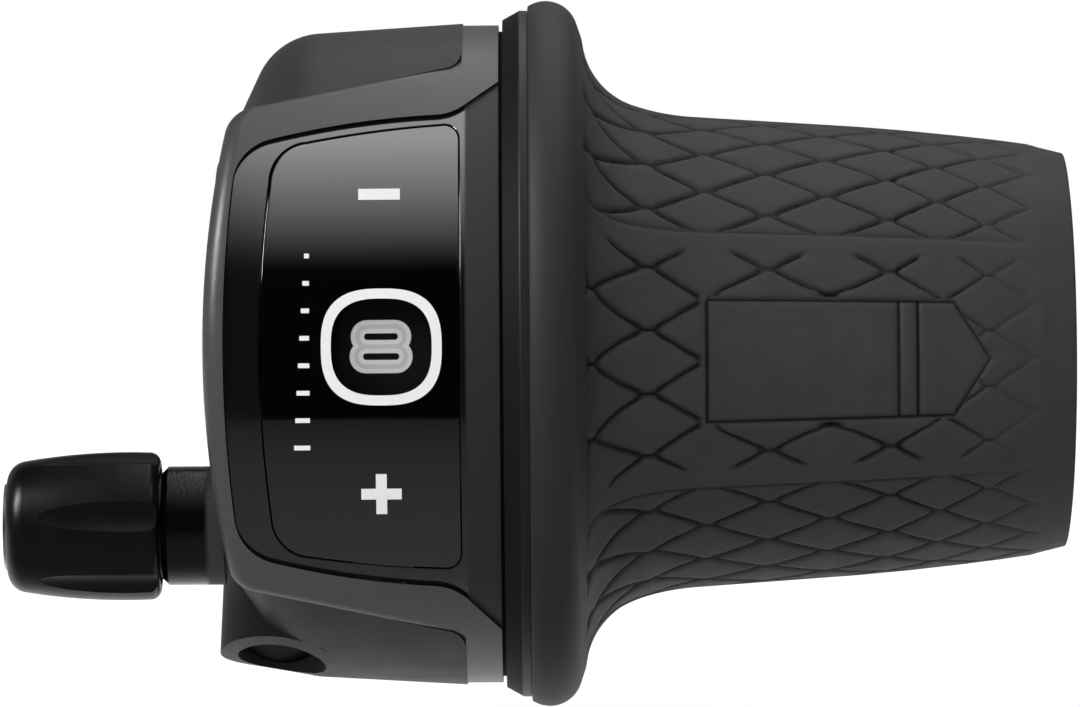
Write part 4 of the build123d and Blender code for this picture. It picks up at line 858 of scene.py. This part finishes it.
def makeFloor():
    # pale floor: white to the eye, with a soft shadow near the part; in reflections a dim table in front
    # that grows paler behind the part; a white card on its left side throws soft light up
    material, tree = newMaterial("paleFloor")
    path = addNode(tree, "LightPath").outputs
    place = addNode(tree, "TexCoord").outputs["Object"]
    x, y, _ = addNode(tree, "SeparateXYZ", {0: place}).outputs
    # eye: the shadow's share, by the distance from the part on the floor
    flat = addNode(tree, "CombineXYZ", {0: x, 1: y}).outputs[0]
    away = addNode(tree, "VectorMath", {0: flat}, operation="LENGTH").outputs["Value"]
    near, far = inMetres(studio["shadow"])
    eye = addNode(tree, "MapRange", {"Value": away, "From Min": near, "From Max": far,
                                     "To Min": studio["shadowShare"], "To Max": 1.0},
                  interpolation_type="SMOOTHSTEP").outputs[0]
    # table: its level in reflections, along y
    front, under, behind = studio["tableShine"]
    start, end = inMetres(studio["tableRise"])
    rising = addNode(tree, "MapRange", {"Value": y, "From Min": start, "From Max": end, "To Min": front,
                                        "To Max": under}).outputs[0]
    palerStart, palerEnd = inMetres(studio["tablePaler"])
    paler = addNode(tree, "MapRange", {"Value": y, "From Min": palerStart, "From Max": palerEnd, "To Min": 0.0,
                                       "To Max": behind - under}, interpolation_type="SMOOTHSTEP").outputs[0]
    total = addNode(tree, "Math", {0: rising, 1: paler}, operation="ADD").outputs[0]
    nearby = addNode(tree, "Math", {0: y, 1: start}, operation="GREATER_THAN").outputs[0]
    table = addNode(tree, "Math", {0: nearby, 1: total}, operation="MULTIPLY").outputs[0]
    # seen is 1 for what the camera sees straight or through the pane
    seen = addNode(tree, "Math", {0: path["Is Camera Ray"], 1: path["Is Transmission Ray"]},
                   operation="MAXIMUM").outputs[0]
    strength = addNode(tree, "Mix", {0: seen, 2: table, 3: studio["floorWhite"]}, data_type="FLOAT").outputs[0]
    glow = addNode(tree, "Emission", {"Color": (1, 1, 1, 1), "Strength": strength}).outputs[0]
    shown = addNode(tree, "Math", {0: seen, 1: eye}, operation="MULTIPLY").outputs[0]
    share = addNode(tree, "Math", {0: shown, 1: path["Is Glossy Ray"]}, operation="MAXIMUM").outputs[0]
    soft = addNode(tree, "BsdfDiffuse", {"Color": linearColour(studio["floorColour"])}).outputs[0]
    cardStart, cardEnd = inMetres(studio["cardEdge"])
    level = addNode(tree, "MapRange", {"Value": x, "From Min": cardStart, "From Max": cardEnd, "To Min": 0.0,
                                       "To Max": studio["cardGlow"]}, interpolation_type="SMOOTHSTEP").outputs[0]
    card = addNode(tree, "Emission", {"Color": (1, 1, 1, 1), "Strength": level}).outputs[0]
    both = addNode(tree, "AddShader", {0: soft, 1: card}).outputs[0]
    mix = addNode(tree, "MixShader", {0: share, 1: both, 2: glow}).outputs[0]
    addNode(tree, "OutputMaterial", {"Surface": mix})
    half = studio["floorHalf"]
    stagePlane("floor", material, -half, half, -half, half, studio["floorZ"])


def makeSoftBox():
    # soft box over the window and the grip, seen in reflections only: strength x t^boxPower, where t runs from 0
    # at its front edge to 1 over the part; it fades at its left end, so the adjuster stays dark
    material, tree = newMaterial("softBox")
    place = addNode(tree, "TexCoord").outputs["Object"]
    x, y, _ = addNode(tree, "SeparateXYZ", {0: place}).outputs
    left, right, front, back = (studio[key] for key in ("boxLeft", "boxRight", "boxFront", "boxBack"))
    t = addNode(tree, "MapRange", {"Value": y, "From Min": front * mm, "From Max": studio["boxFull"] * mm,
                                   "To Min": 0.0, "To Max": 1.0}).outputs[0]
    rise = addNode(tree, "Math", {0: t, 1: studio["boxPower"]}, operation="POWER").outputs[0]
    side = addNode(tree, "MapRange", {"Value": x, "From Min": left * mm, "From Max": (left + studio["boxFade"]) * mm,
                                      "To Min": 0.0, "To Max": studio["boxStrength"]},
                   interpolation_type="SMOOTHSTEP").outputs[0]
    strength = addNode(tree, "Math", {0: rise, 1: side}, operation="MULTIPLY").outputs[0]
    glow = addNode(tree, "Emission", {"Color": (1, 1, 1, 1), "Strength": strength}).outputs[0]
    addNode(tree, "OutputMaterial", {"Surface": glow})
    box = stagePlane("soft_box", material, left, right, front, back, studio["boxZ"])
    for ray in ("camera", "diffuse", "transmission", "volume_scatter", "shadow"):
        setattr(box, "visible_" + ray, False)


def makeWorld():
    # studio room: white to the eye, an even level for soft light, and in reflections a dark room with a paler
    # wall behind
    world = bpy.data.worlds.new("studio")
    bpy.context.scene.world = world
    world.use_nodes = True
    tree = world.node_tree
    tree.nodes.clear()
    path = addNode(tree, "LightPath").outputs
    way = addNode(tree, "TexCoord").outputs["Generated"]
    _, y, z = addNode(tree, "SeparateXYZ", {0: way}).outputs
    start, end = studio["wallEdge"]
    wall = addNode(tree, "MapRange", {"Value": y, "From Min": start, "From Max": end, "To Min": 0.0,
                                      "To Max": studio["backStrength"]}, interpolation_type="SMOOTHSTEP").outputs[0]
    full, top = studio["wallTop"]
    low = addNode(tree, "MapRange", {"Value": z, "From Min": full, "From Max": top, "To Min": 1.0, "To Max": 0.0},
                  interpolation_type="SMOOTHSTEP").outputs[0]
    mirror = addNode(tree, "Math", {0: wall, 1: low}, operation="MULTIPLY").outputs[0]
    room = addNode(tree, "Mix", {0: path["Is Glossy Ray"], 2: studio["ambient"], 3: mirror},
                   data_type="FLOAT").outputs[0]
    seen = addNode(tree, "Math", {0: path["Is Camera Ray"], 1: path["Is Transmission Ray"]},
                   operation="MAXIMUM").outputs[0]
    strength = addNode(tree, "Mix", {0: seen, 2: room, 3: 1.0}, data_type="FLOAT").outputs[0]
    light = addNode(tree, "Background", {"Color": (1, 1, 1, 1), "Strength": strength}).outputs[0]
    addNode(tree, "OutputWorld", {"Surface": light})


def addLamp(name, place, aim, size, power, mirrorOnly):
    # rectangular lamp at a place, turned so that it shines toward the aim
    data = bpy.data.lights.new(name, "AREA")
    data.shape = "RECTANGLE"
    data.size, data.size_y = size[0] * mm, size[1] * mm
    data.energy = power
    lamp = addObject(name, data)
    lamp.location = [v * mm for v in place]
    way = np.array(aim) - np.array(place)
    tilt = math.acos(np.clip(-way[2] / np.linalg.norm(way), -1, 1))
    lamp.rotation_euler = (tilt, 0, math.atan2(-way[0], way[1]))
    lamp.visible_glossy = mirrorOnly
    lamp.visible_diffuse = not mirrorOnly


makeFloor()
makeSoftBox()
makeWorld()
for lampName, values in lamps.items():
    addLamp(lampName, *values)
print("twist shifter: studio lit")
